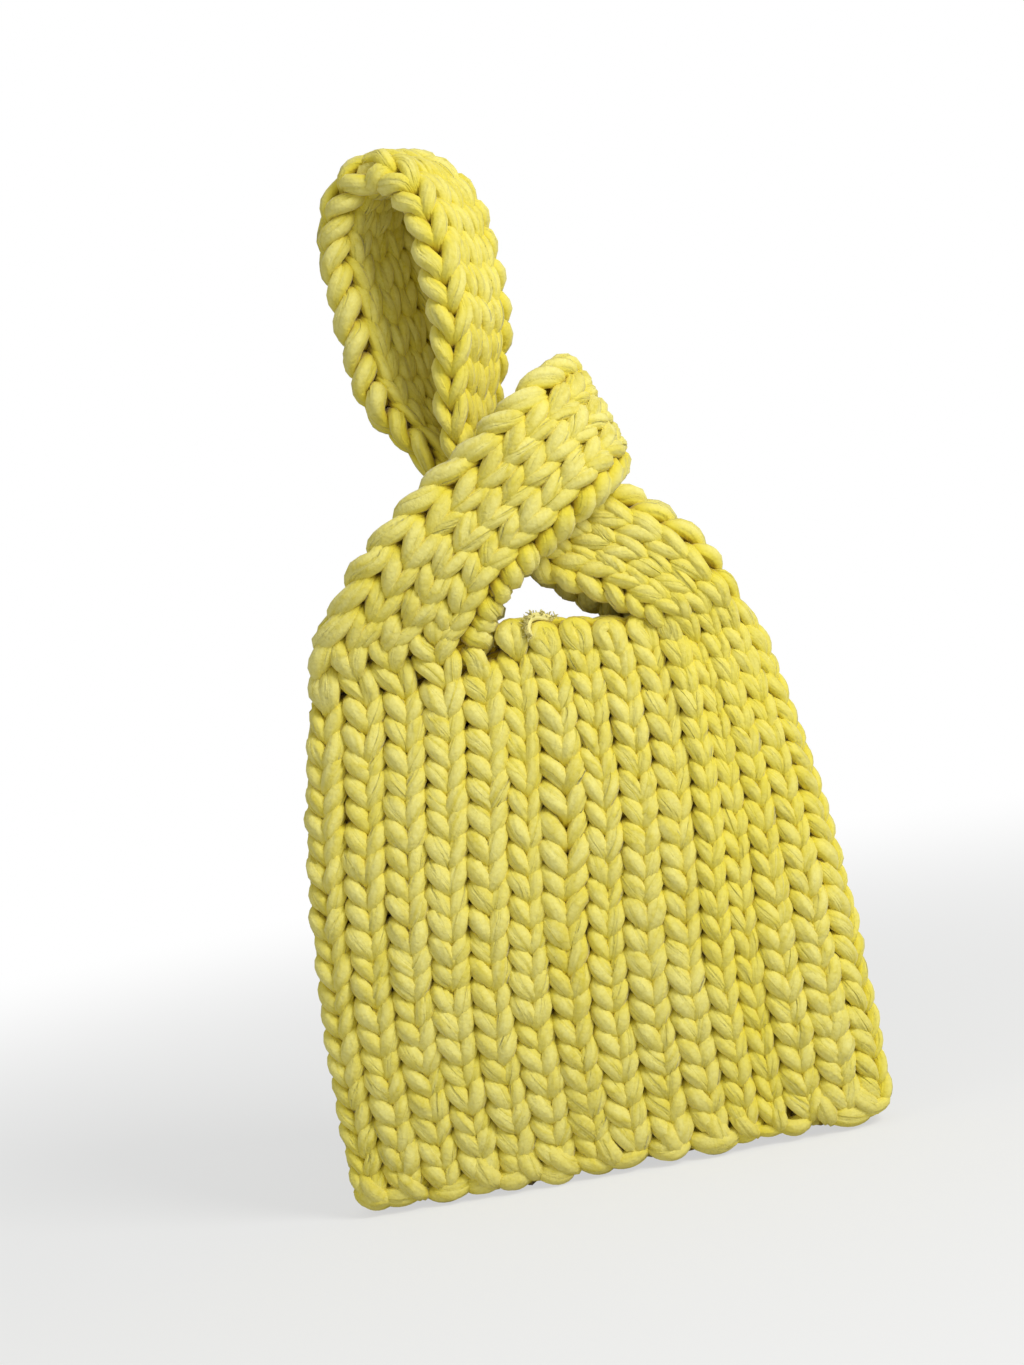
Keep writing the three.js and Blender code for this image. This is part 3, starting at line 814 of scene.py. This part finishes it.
def strand_curve(name, strand, profile, rng):
    """A curve object for one strand. Its section turns slowly, so that the creases wander."""
    points = strand.points
    data = bpy.data.curves.new(name, "CURVE")
    data.dimensions = "3D"
    data.twist_mode = "MINIMUM"
    data.bevel_mode = "OBJECT"
    data.bevel_object = profile
    data.use_fill_caps = True
    line = data.splines.new("POLY")
    line.points.add(len(points) - 1)
    flat = np.hstack((points + BASE_PLACE, np.ones((len(points), 1))))
    line.points.foreach_set("co", flat.ravel())
    line.points.foreach_set("radius", strand.radius)
    tilt = np.full(len(points), rng.uniform(0, 2 * math.pi))
    for wave_length, swing in TWIST_WAVES:
        wave = run_along(points) / wave_length * 2 * math.pi
        tilt += swing * np.sin(wave + rng.uniform(0, 2 * math.pi))
    line.points.foreach_set("tilt", tilt)
    line.use_cyclic_u = strand.closed
    line.use_smooth = True
    return link_new(name, data)


def stretch_uv(mesh, yarn_length):
    """Makes the UV map run in metres along the yarn. It stays from 0 to 1 round it."""
    uv = np.empty(len(mesh.loops) * 2, dtype=np.float32)
    mesh.uv_layers[0].data.foreach_get("uv", uv)
    uv[0::2] *= yarn_length
    mesh.uv_layers[0].data.foreach_set("uv", uv)


def mark_proud(mesh, strand):
    """Stores how far each point of the yarn's surface stands out of the knitting, in yarn thicknesses.
    The points of the tube come after those of its caps, ring by ring. Loose yarn counts as proud."""
    # The yarn's material paints shade by this height: warmer flanks, and a darker gold deep between the
    # stitches
    proud = np.ones(len(mesh.vertices), dtype=np.float32)
    if strand.outward is not None:
        spots = np.empty(len(mesh.vertices) * 3, dtype=np.float32)
        mesh.vertices.foreach_get("co", spots)
        sides = len(PROFILE_DEGREES)
        tube = len(strand.points) * sides
        rings = spots.reshape(-1, 3)[-tube:].reshape(-1, sides, 3)
        rings = rings - (strand.points + BASE_PLACE)[:, None]
        rise = np.sum(rings * strand.outward[:, None], axis=2) / yarn().thickness
        proud[-tube:] = (strand.height[:, None] + rise).ravel()
    mesh.attributes.new("proud", "FLOAT", "POINT").data.foreach_set("value", proud)


def sweep(name, strands, slot, *nodes):
    """One piece of yarn swept along strands, in place of nodes of the frame."""
    rng = chance(0)
    profile = yarn_profile()
    sources = [strand_curve(name, strand, profile, rng) for strand in strands]
    bpy.context.view_layer.update()
    depsgraph = bpy.context.evaluated_depsgraph_get()
    joined = bmesh.new()
    for source, strand in zip(sources, strands):
        swept = bpy.data.meshes.new_from_object(source.evaluated_get(depsgraph))
        stretch_uv(swept, run_along(strand.points)[-1])
        mark_proud(swept, strand)
        joined.from_mesh(swept)
        bpy.data.meshes.remove(swept)
        bpy.data.curves.remove(source.data)
    bpy.data.curves.remove(profile.data)
    mesh = bpy.data.meshes.new(name)
    joined.to_mesh(mesh)
    joined.free()
    mesh.materials.append(YARNS[slot]())
    mesh.shade_smooth()
    piece = link_new(name, mesh)
    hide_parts(*nodes)
    return piece


# Materials

def add(tree, kind, inputs=None, **settings):
    """Adds a node with its settings, and its inputs as values or as sockets to link."""
    node = tree.nodes.new(kind)
    for key, value in settings.items():
        setattr(node, key, value)
    for key, value in (inputs or {}).items():
        if isinstance(value, bpy.types.NodeSocket):
            tree.links.new(value, node.inputs[key])
        else:
            node.inputs[key].default_value = value
    return node


def new_tree(owner):
    """The empty node tree of a material or a world."""
    owner.use_nodes = True
    owner.node_tree.nodes.clear()
    return owner.node_tree


def calc(tree, operation, *values):
    return add(tree, "ShaderNodeMath", dict(enumerate(values)), operation=operation).outputs["Value"]


def noise(tree, where, scale, detail, roughness=0.5):
    inputs = {"Vector": where, "Scale": scale, "Detail": detail, "Roughness": roughness}
    return add(tree, "ShaderNodeTexNoise", inputs).outputs["Fac"]


def ranged(tree, value, low, high, at_low, at_high, ease="LINEAR"):
    """A value carried from one range to another."""
    inputs = {"Value": value, "From Min": low, "From Max": high, "To Min": at_low, "To Max": at_high}
    return add(tree, "ShaderNodeMapRange", inputs, interpolation_type=ease).outputs["Result"]


def toned(tree, factor, a, b):
    inputs = {"Factor": factor, "A": a, "B": b}
    return add(tree, "ShaderNodeMix", inputs, data_type="RGBA").outputs["Result"]


# Creases and ribs along the yarn, with so many round it, and the size of the grain and the patches
FOLD_LENGTH, FOLDS_ROUND = 22 * MM, 3.4
RIB_LENGTH, RIBS_ROUND = 7 * MM, 15.0
GRAIN_SIZE = 1.5 * MM
PATCH_SIZE = 26 * MM


def jersey_yarn(name, yarn_colour, crease_shade_and_tone_colour):
    """Cotton jersey cut into a strip that rolls up on itself: matt, with a fine rib along the yarn,
    wandering creases where the strip folds, and a little fuzz that lightens the edges. Shade is painted
    into its colour: darker along the creases, varying in random patches, warmer on the flanks, and a deep
    gold on the yarn between the stitches, where light comes only off other yarn. Random specks of tone
    are the yarn's own. The jersey's own rib is under 1 mm wide, and is drawn about 1.5 mm wide to show."""
    material = bpy.data.materials.new(name)
    tree = new_tree(material)
    uv = add(tree, "ShaderNodeUVMap", uv_map="UVMap").outputs["UV"]
    in_bag = add(tree, "ShaderNodeTexCoord").outputs["Object"]
    proud = add(tree, "ShaderNodeAttribute", attribute_name="proud").outputs["Fac"]

    def lengthwise(wave_length, around):
        """Places along the yarn in wave lengths, and so many waves round it."""
        scale = (1 / wave_length, around, 1.0)
        return add(tree, "ShaderNodeMapping", {"Vector": uv, "Scale": scale}).outputs["Vector"]

    folds = noise(tree, lengthwise(FOLD_LENGTH, FOLDS_ROUND), 1.0, 1.0, 0.4)
    ribs = noise(tree, lengthwise(RIB_LENGTH, RIBS_ROUND), 1.0, 1.0)
    grain = noise(tree, in_bag, 1 / GRAIN_SIZE, 2.0, 0.6)
    patches = noise(tree, in_bag, 1 / PATCH_SIZE, 1.0)
    from_crease = calc(tree, "ABSOLUTE", calc(tree, "SUBTRACT", folds, 0.5))
    smooth_cloth = ranged(tree, from_crease, 0.0, 0.08, 0.0, 1.0, "SMOOTHSTEP")
    # Painted shade: the creases are toned towards the darker crease colour, more in random patches; the
    # grain's specks add random tone
    crease_shade_and_patches = calc(tree, "MULTIPLY", ranged(tree, smooth_cloth, 0.0, 1.0, 0.9, 0.1), patches)
    specks = ranged(tree, grain, 0.35, 0.65, 0.0, 0.34)
    tone_and_crease_shading = calc(tree, "ADD", crease_shade_and_patches, specks)
    shade = toned(tree, tone_and_crease_shading, linear(yarn_colour), linear(crease_shade_and_tone_colour))
    # Painted shade: the flanks go warmer and the yarn deep between the stitches a darker gold, the lower
    # the yarn lies in the knitting
    for hue, bottom, top in ((yarn().flank_shade, 0.2, 1.0), (yarn().deep, -0.16, 0.42)):
        painted_shade_share = ranged(tree, proud, bottom, top, 1.0, 0.0, "SMOOTHSTEP")
        shade = toned(tree, painted_shade_share, shade, linear(hue))
    surface = {
        "Base Color": shade, "Roughness": 0.88, "Specular IOR Level": 0.2,
        "Sheen Weight": 0.2, "Sheen Roughness": 0.5,
    }
    normal = {}
    for height, strength, depth in (
        (grain, 0.7, 0.6 * MM),
        (ribs, 0.7, 0.7 * MM),
        (folds, 0.6, 2.6 * MM),
        (smooth_cloth, 0.4, 0.5 * MM),
    ):
        relief = {"Height": height, "Strength": strength, "Distance": depth}
        normal = {"Normal": add(tree, "ShaderNodeBump", relief | normal).outputs["Normal"]}
    shader = add(tree, "ShaderNodeBsdfPrincipled", surface | normal)
    add(tree, "ShaderNodeOutputMaterial", {"Surface": shader.outputs["BSDF"]})
    return material


def lemon_yarn():
    name = "lemon_jersey_yarn"
    return bpy.data.materials.get(name) or jersey_yarn(name, yarn().lemon, yarn().crease_shade_and_tone)


def seam_yarn():
    name = "seam_jersey_yarn"
    return bpy.data.materials.get(name) or jersey_yarn(name, yarn().seam, yarn().crease_shade_and_tone)


def frayed_yarn():
    name = "frayed_jersey_yarn"
    return bpy.data.materials.get(name) or jersey_yarn(name, yarn().frayed, yarn().frayed_crease_shade_and_tone)


YARNS = {"lemon_yarn": lemon_yarn, "seam_yarn": seam_yarn, "frayed_yarn": frayed_yarn}


# Operators

LAYERS = (("front", 1), ("back", -1))


class KNOTBAG_OT_panels(bpy.types.Operator):
    """Knits the front and back panels of the pouch"""

    bl_idname = "knotbag.panels"
    bl_label = "Panels"

    # In rows above the last one, and in yarn thicknesses out of the knitting
    FLOAT_ABOVE = 0.2
    FLOAT_OUT = -0.5

    def execute(self, context):
        for layer, side in LAYERS:
            cloth = PanelCloth(side)
            rows, columns = range(cloth.rows), range(cloth.columns)
            strands = knit(cloth, rows, columns, False, yarn().thickness, chance(side))
            strands.append(self.float_behind(cloth))
            piece = sweep(f"{layer}_panel_knit", strands, "lemon_yarn", f"{layer}_panel")
            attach(piece, "bag")
        return {"FINISHED"}

    def float_behind(self, cloth):
        """Yarn that runs along behind the last row, where the handles go on from the panel."""
        c = np.arange(0.2, cloth.columns, 0.4)
        even = [np.full_like(c, value) for value in (cloth.rows + self.FLOAT_ABOVE, self.FLOAT_OUT, 1.0, 2)]
        return laid(cloth, np.column_stack((c, *even)))


class KNOTBAG_OT_mouth_edges(bpy.types.Operator):
    """Binds off the front and back of the mouth: a row of fat heads, and a chain inside it"""

    bl_idname = "knotbag.mouth_edges"
    bl_label = "Mouth edges"

    # The chain's ends in columns, its height in rows, and how far its face leans into the bag
    END_GAP = 0.1
    CHAIN_ABOVE = 0.95
    CHAIN_LEAN = 0.6
    CHAIN_OUT = -4.5 * MM
    CHAIN_WIDTH = 8 * MM
    CHAIN_FULLNESS = 0.85

    def execute(self, context):
        for layer, side in LAYERS:
            rng = chance(22 + side)
            panel = PanelCloth(side)
            links = panel.third
            thickness = yarn().thickness
            strands = knit(panel, [panel.rows], range(links, 2 * links), False, thickness, rng, BIND_OFF)
            c = np.linspace(links + self.END_GAP, 2 * links - self.END_GAP, 40)
            row = np.full_like(c, panel.rows + self.CHAIN_ABOVE)
            line = panel.lay(c, row, np.full_like(c, self.CHAIN_OUT))
            chain = EdgeCloth(line, (0.0, self.CHAIN_LEAN * side, 1.0), self.CHAIN_WIDTH, links)
            strands += knit(chain, range(links), [0], False, self.CHAIN_FULLNESS * thickness, rng)
            piece = sweep(f"{layer}_mouth_chain", strands, "lemon_yarn", f"{layer}_mouth_edge")
            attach(piece, "bag")
        return {"FINISHED"}


def knit_strap(name, cloth, rows, rng, node):
    """A piece of a handle: some of the rows of its cloth."""
    strands = knit(cloth, rows, range(cloth.columns), True, yarn().strap_thickness, rng)
    return sweep(name, strands, "lemon_yarn", node)


class KNOTBAG_OT_short_handle(bpy.types.Operator):
    """Knits the short handle in two pieces: its root, which goes on from the pouch, and its loop round the
    long handle
    """

    bl_idname = "knotbag.short_handle"
    bl_label = "Short handle"

    ROOT_ROWS = 3
    # The loop starts to slide here, above the shoulder line and aside, and slides fully this much further
    SLIDE_FOOT = (34 * MM, -30 * MM)
    SLIDE_REACH = 60 * MM

    def execute(self, context):
        for layer, side in LAYERS:
            rng = chance(30 + side)
            cloth = StrapCloth(short_strap(side), HANDLE_COLUMNS)
            node = f"short_handle_{layer}"
            root = knit_strap(f"{node}_root", cloth, range(self.ROOT_ROWS), rng, node)
            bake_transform(root)
            loop = knit_strap(f"{node}_loop", cloth, range(self.ROOT_ROWS, cloth.rows), rng, node)
            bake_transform(loop)
        return {"FINISHED"}


class KNOTBAG_OT_long_handle(bpy.types.Operator):
    """Knits the long handle, from the right shoulder into the knot"""

    bl_idname = "knotbag.long_handle"
    bl_label = "Long handle"

    def execute(self, context):
        for layer, side in LAYERS:
            cloth = StrapCloth(long_strap(side), HANDLE_COLUMNS)
            node = f"long_handle_{layer}"
            piece = knit_strap(f"{node}_knit", cloth, range(cloth.rows), chance(40 + side), node)
            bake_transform(piece)
        return {"FINISHED"}


class KNOTBAG_OT_grip(bpy.types.Operator):
    """Knits the grip loop above the knot"""

    bl_idname = "knotbag.grip"
    bl_label = "Grip"

    BEND = 14 * MM

    def execute(self, context):
        for layer, side in LAYERS:
            cloth = StrapCloth(grip_strap(side), GRIP_COLUMNS)
            node = f"grip_{layer}"
            piece = knit_strap(f"{node}_knit", cloth, range(cloth.rows), chance(50 + side), node)
            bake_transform(piece)
        return {"FINISHED"}


class KNOTBAG_OT_base_seam(bpy.types.Operator):
    """Sews the base shut: cast-on loops along both panels, whip stitches over them, rungs underneath"""

    bl_idname = "knotbag.base_seam"
    bl_label = "Base seam"

    # Loops and whip stitches are placed in columns from the corners, and rungs in shares of the width
    CORNER = 0.1
    WHIPS = 12
    FIRST_WHIP, LAST_WHIP = 0.9, 0.7
    WHIP_STRAY = 0.18
    WHIP_SLANTS = (0.3, 2.4)
    LOOP_LENGTHS = (0.8, 1.25)
    RUNGS = 27
    RUNG_ENDS = (0.05, 0.95)
    RUNG_SLANT = 0.012
    RUNG_HEIGHT = 4 * MM
    RUNG_SAG = 0.9 * MM
    RUNG_RADIUS = 3 * MM

    def execute(self, context):
        rng = chance(60)
        panels = [PanelCloth(side) for _, side in LAYERS]
        columns = panels[0].columns
        strands = [self.loop(panel, column, rng) for panel in panels for column in range(columns)]
        for i in range(self.WHIPS):
            column = mix(self.FIRST_WHIP, columns - self.LAST_WHIP, i / (self.WHIPS - 1))
            strands.append(self.whip(panels, column + uneven(rng, self.WHIP_STRAY), rng))
        for i in range(self.RUNGS):
            strands.append(self.rung(mix(*self.RUNG_ENDS, (i + 0.5) / self.RUNGS), rng))
        piece = sweep("base_whip_seam", strands, "seam_yarn", "bottom_seam")
        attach(piece, "bag")
        return {"FINISHED"}

    def loop(self, panel, column, rng):
        """A loop of the cast-on edge, more or less level and full, as hand-sewn edges are."""
        bar = CAST_ON.copy()
        bar[:, 1] += bar[:, 0] * uneven(rng, 0.3) + uneven(rng, 0.07)
        bar[:, 2] += uneven(rng, 0.08)
        bar[:, 0] = bar[:, 0] * rng.uniform(*self.LOOP_LENGTHS) + column + 0.5 + uneven(rng, 0.12)
        bar[:, 0] = np.clip(bar[:, 0], self.CORNER, panel.columns - self.CORNER)
        bar[:, 3] *= 1 + uneven(rng, 0.09)
        return laid(panel, bar)

    def whip(self, panels, column, rng):
        """A whip stitch: down the front, under the base and up the back."""
        half = WHIP.copy()
        half[:, 0] = half[:, 0] * rng.uniform(*self.WHIP_SLANTS) + column
        half[:, 3] *= 1 + uneven(rng, 0.06)
        front, back = (laid(panel, half) for panel in panels)
        whole = {
            key: np.concatenate((getattr(front, key), getattr(back, key)[::-1]))
            for key in ("points", "radius", "height", "outward")
        }
        return Strand(**whole)

    def rung(self, u, rng):
        """A stretch of sewing yarn across the underside."""
        height = np.array([self.RUNG_HEIGHT])
        front = body_point(np.array([u]), height, 1)[0]
        back = body_point(np.array([u + self.RUNG_SLANT]), height, -1)[0]
        s = np.linspace(0, 1, 9)[:, None]
        path = mix(front, back, s) - np.array((0, 0, self.RUNG_SAG)) * np.sin(math.pi * s)
        return Strand(path, np.full(len(path), self.RUNG_RADIUS * (1 + uneven(rng, 0.05))))


class KNOTBAG_OT_side_seams(bpy.types.Operator):
    """Laces the front to the back up both sides"""

    bl_idname = "knotbag.side_seams"
    bl_label = "Side seams"

    # Each side, how far round the front its lacing runs, and which way is out
    SIDES = (("left", 0.014, -1), ("right", 0.986, 1))
    OUT = 0.5 * MM
    RADIUS = 2.3 * MM
    STEPS = 4

    def execute(self, context):
        b = bag()
        turns = 2 * PanelCloth(1).rows + 1
        z = np.linspace(b.bottom_seam, b.shoulder_height, turns)
        in_front = (np.arange(turns) % 2 == 0)[:, None]
        for name, u_edge, end in self.SIDES:
            front, back = (body_point(np.full(turns, u_edge), z, side) for _, side in LAYERS)
            lacing = np.where(in_front, front, back)
            lacing[:, 0] += end * self.OUT
            path = spline(lacing, np.linspace(0, 1, self.STEPS * turns))
            strands = [Strand(path, np.full(len(path), self.RADIUS))]
            piece = sweep(f"{name}_side_lacing", strands, "seam_yarn", f"{name}_side_seam")
            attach(piece, "bag")
        return {"FINISHED"}


class KNOTBAG_OT_joins(bpy.types.Operator):
    """Joins the two layers of each handle with a chain over the crest of its loop, and yarn under it"""

    bl_idname = "knotbag.joins"
    bl_label = "Joins"

    # Ends are shares of the handle's width
    LINKS = 3
    CHAIN_ENDS = (0.2, 0.8)
    CHAIN_RISE = 1.5 * MM
    CHAIN_WIDTH = 10 * MM
    CORE_ENDS = (0.08, 0.92)
    CORE_RADIUS = 4.5 * MM

    def execute(self, context):
        h = handles()
        for node, strap, rise, body in (
            ("short_handle_join", short_strap(1), h.short_rise, "short_loop"),
            ("grip_join", grip_strap(1), h.grip_lean, "grip"),
        ):
            u = np.linspace(*self.CHAIN_ENDS, 40)
            up = upright(heading(rise))
            line = strap.mid(u, np.ones_like(u)) + up * self.CHAIN_RISE
            chain = EdgeCloth(line, up, self.CHAIN_WIDTH, self.LINKS)
            strands = knit(chain, range(self.LINKS), [0], False, yarn().strap_thickness, chance(70))
            u = np.linspace(*self.CORE_ENDS, 24)
            strands.append(Strand(strap.mid(u, np.ones_like(u)), np.full(len(u), self.CORE_RADIUS)))
            piece = sweep(f"{node}_chain", strands, "seam_yarn", node)
            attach(piece, body)
        return {"FINISHED"}


# The cut end lies over one head of the front mouth edge: across in columns, up in rows from the
# bound-off row and out in yarn thicknesses
CUT_EDGE = np.array((
    (1.92, 1.50, -0.20),
    (1.72, 1.60, 0.06),
    (1.40, 1.66, 0.22),
    (1.16, 1.52, 0.42),
    (1.08, 1.18, 0.70),
    (1.14, 0.86, 0.84),
))


class KNOTBAG_OT_yarn_tail(bpy.types.Operator):
    """Leaves the frayed cut end of the yarn on the mouth's edge"""

    bl_idname = "knotbag.yarn_tail"
    bl_label = "Yarn tail"

    EDGE_RADII = (1.5 * MM, 0.8 * MM)
    FIBRES = 90
    FIBRE_LENGTHS = (1.6 * MM, 4 * MM)
    FIBRE_CURL = 0.8 * MM
    FIBRE_RADII = (0.34 * MM, 0.18 * MM)

    def execute(self, context):
        rng = chance(80)
        panel = PanelCloth(1)
        c, r, w = (spline(CUT_EDGE, np.linspace(0, 1, 22)) + (panel.third, panel.rows, 0)).T
        path = panel.lay(c, r, w * yarn().thickness)
        head = panel.lay(np.array([panel.third + 1.5]), np.array([panel.rows + 0.9]), np.zeros(1))[0]
        strands = [Strand(path, mix(*self.EDGE_RADII, np.abs(np.linspace(-1, 1, len(path))) ** 3))]
        for _ in range(self.FIBRES):
            strands.append(self.fibre(path[rng.integers(0, len(path))], head, rng))
        piece = sweep("frayed_yarn_end", strands, "frayed_yarn", "yarn_tail")
        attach(piece, "bag")
        return {"FINISHED"}

    def fibre(self, root, head, rng):
        """A cotton fibre that curls out of the cut edge, away from the head that it lies on."""
        way = unit(unit(root - head) + rng.normal(0, 0.55, 3))
        aside = unit(np.cross(way, rng.normal(0, 1, 3)))
        reach = rng.uniform(*self.FIBRE_LENGTHS)
        s = np.linspace(0, 1, 5)[:, None]
        curl = aside * np.sin(rng.uniform(3, 6) * s) * self.FIBRE_CURL
        points = root + way * reach * s * (1.25 - 0.45 * s) + curl * s
        return Strand(points, np.linspace(*self.FIBRE_RADII, len(points)))


class KNOTBAG_OT_stage(bpy.types.Operator):
    """Sets the floor, the lights and the camera"""

    bl_idname = "knotbag.stage"
    bl_label = "Stage"

    def execute(self, context):
        context.scene.view_settings.view_transform = "Standard"
        make_floor()
        make_world()
        make_lights()
        make_camera()
        return {"FINISHED"}


def seen_directly(tree):
    """1 for the camera and for what shows in a reflection or through glass."""
    rays = add(tree, "ShaderNodeLightPath").outputs
    either = calc(tree, "MAXIMUM", rays["Is Camera Ray"], rays["Is Glossy Ray"])
    return calc(tree, "MAXIMUM", either, rays["Is Transmission Ray"])


# How far the lowest yarn hangs under the frame's base
FLOOR_DROP = 2.6 * MM
FLOOR_REACH = 8.0
FLOOR_COLOUR = "D0D0CD"
# How far from the frame's origin the floor goes over to white, and how white it is there
SHADOW_FADE = (0.36, 1.1)
SHADOW_WHITE = (0.6, 1.0)


def make_floor():
    """A pale floor that keeps the shadow near the bag and goes over to white further off."""
    mesh = bpy.data.meshes.new("floor")
    shape = bmesh.new()
    bmesh.ops.create_grid(shape, x_segments=1, y_segments=1, size=FLOOR_REACH)
    bmesh.ops.translate(shape, verts=shape.verts, vec=(0, 0, BASE_LOW.z - FLOOR_DROP))
    shape.to_mesh(mesh)
    shape.free()
    floor = link_new("floor", mesh)
    material = bpy.data.materials.new("pale_floor")
    tree = new_tree(material)
    spot = add(tree, "ShaderNodeTexCoord").outputs["Object"]
    distance = add(tree, "ShaderNodeVectorMath", {0: spot}, operation="LENGTH").outputs["Value"]
    whiter = ranged(tree, distance, *SHADOW_FADE, *SHADOW_WHITE, "SMOOTHSTEP")
    shown = calc(tree, "MULTIPLY", whiter, seen_directly(tree))
    matt = add(tree, "ShaderNodeBsdfDiffuse", {"Color": linear(FLOOR_COLOUR)}).outputs["BSDF"]
    white = add(tree, "ShaderNodeEmission", {"Strength": 1.0}).outputs["Emission"]
    both = add(tree, "ShaderNodeMixShader", {"Fac": shown, 1: matt, 2: white}).outputs["Shader"]
    add(tree, "ShaderNodeOutputMaterial", {"Surface": both})
    mesh.materials.append(material)


WORLD_COLOUR = "F1F3F4"
WORLD_STRENGTH = 0.48


def make_world():
    """Even light from all around, seen as plain white."""
    world = bpy.data.worlds.new("studio")
    bpy.context.scene.world = world
    tree = new_tree(world)
    light, white = (
        add(tree, "ShaderNodeBackground", {"Color": hue, "Strength": strength}).outputs["Background"]
        for hue, strength in ((linear(WORLD_COLOUR), WORLD_STRENGTH), ((1, 1, 1, 1), 1.0))
    )
    shown = seen_directly(tree)
    both = add(tree, "ShaderNodeMixShader", {"Fac": shown, 1: light, 2: white}).outputs["Shader"]
    add(tree, "ShaderNodeOutputWorld", {"Surface": both})


# Round lamps: where each stands, its width and its power in watts
LAMPS = {
    "window": ((0.75, -0.75, 0.55), 0.55, 12.4),
    "fill": ((-1.0, -0.7, 0.2), 0.9, 1.7),
}
LAMP_TARGET = Vector((0.0, 0.0, -0.2))


def make_lights():
    for name, (spot, size, power) in LAMPS.items():
        lamp = bpy.data.lights.new(name, "AREA")
        lamp.shape = "DISK"
        lamp.size = size
        lamp.energy = power
        holder = link_new(name, lamp)
        holder.location = spot
        holder.rotation_euler = (LAMP_TARGET - holder.location).to_track_quat("-Z", "Y").to_euler()


# The photograph's size, where the middle of the base lies in it, and what a pixel covers there
IMAGE_WIDTH, IMAGE_HEIGHT = 1024, 1365
BASE_PIXEL = (624.0, 1162.0)
PIXEL = 0.3617 * MM
CAMERA_DISTANCE = 0.9
CAMERA_RISE = math.radians(2.0)
CAMERA_ROLL = math.radians(10.4)


def make_camera():
    """Camera square to the front, rolled so that the bag leans as in the photograph."""
    data = bpy.data.cameras.new("camera")
    camera = link_new("camera", data)
    bpy.context.scene.camera = camera
    data.lens = CAMERA_DISTANCE / PIXEL / IMAGE_HEIGHT * data.sensor_width
    right = Vector((math.cos(CAMERA_ROLL), 0, -math.sin(CAMERA_ROLL)))
    up = Vector((math.sin(CAMERA_ROLL), 0, math.cos(CAMERA_ROLL)))
    target = Vector(BASE_PLACE)
    target += right * (IMAGE_WIDTH / 2 - BASE_PIXEL[0]) * PIXEL
    target -= up * (IMAGE_HEIGHT / 2 - BASE_PIXEL[1]) * PIXEL
    back = Vector((0, -math.cos(CAMERA_RISE), math.sin(CAMERA_RISE)))
    camera.location = target + back * CAMERA_DISTANCE
    up = (up - back * up.dot(back)).normalized()
    camera.rotation_euler = Matrix((up.cross(back), up, back)).transposed().to_euler()


class KNOTBAG_PT_panel(bpy.types.Panel):
    """Lists the sizes and the pieces of the bag"""

    bl_label = "Knot bag"
    bl_idname = "KNOTBAG_PT_panel"
    bl_space_type = "VIEW_3D"
    bl_region_type = "UI"
    bl_category = "Knot bag"

    def draw(self, context):
        for group in (bag(), handles(), yarn()):
            for key in group.__annotations__:
                self.layout.prop(group, key)
        for operator in OPERATORS:
            self.layout.operator(operator.bl_idname)


GROUPS = {"knot_bag_sizes": BagSizes, "knot_bag_handles": HandleSizes, "knot_bag_yarn": YarnLook}
OPERATORS = (
    KNOTBAG_OT_panels,
    KNOTBAG_OT_mouth_edges,
    KNOTBAG_OT_short_handle,
    KNOTBAG_OT_long_handle,
    KNOTBAG_OT_grip,
    KNOTBAG_OT_base_seam,
    KNOTBAG_OT_side_seams,
    KNOTBAG_OT_joins,
    KNOTBAG_OT_yarn_tail,
    KNOTBAG_OT_stage,
)


def register():
    for kind in (*GROUPS.values(), *OPERATORS, KNOTBAG_PT_panel):
        bpy.utils.register_class(kind)
    for name, kind in GROUPS.items():
        setattr(bpy.types.Scene, name, PointerProperty(type=kind))


def unregister():
    for name in GROUPS:
        delattr(bpy.types.Scene, name)
    for kind in (KNOTBAG_PT_panel, *OPERATORS, *GROUPS.values()):
        bpy.utils.unregister_class(kind)


def main():
    register()
    bpy.ops.knotbag.panels()
    bpy.ops.knotbag.mouth_edges()
    bpy.ops.knotbag.short_handle()
    bpy.ops.knotbag.long_handle()
    bpy.ops.knotbag.grip()
    bpy.ops.knotbag.base_seam()
    bpy.ops.knotbag.side_seams()
    bpy.ops.knotbag.joins()
    bpy.ops.knotbag.yarn_tail()
    bpy.ops.knotbag.stage()


if __name__ == "__main__":
    main()
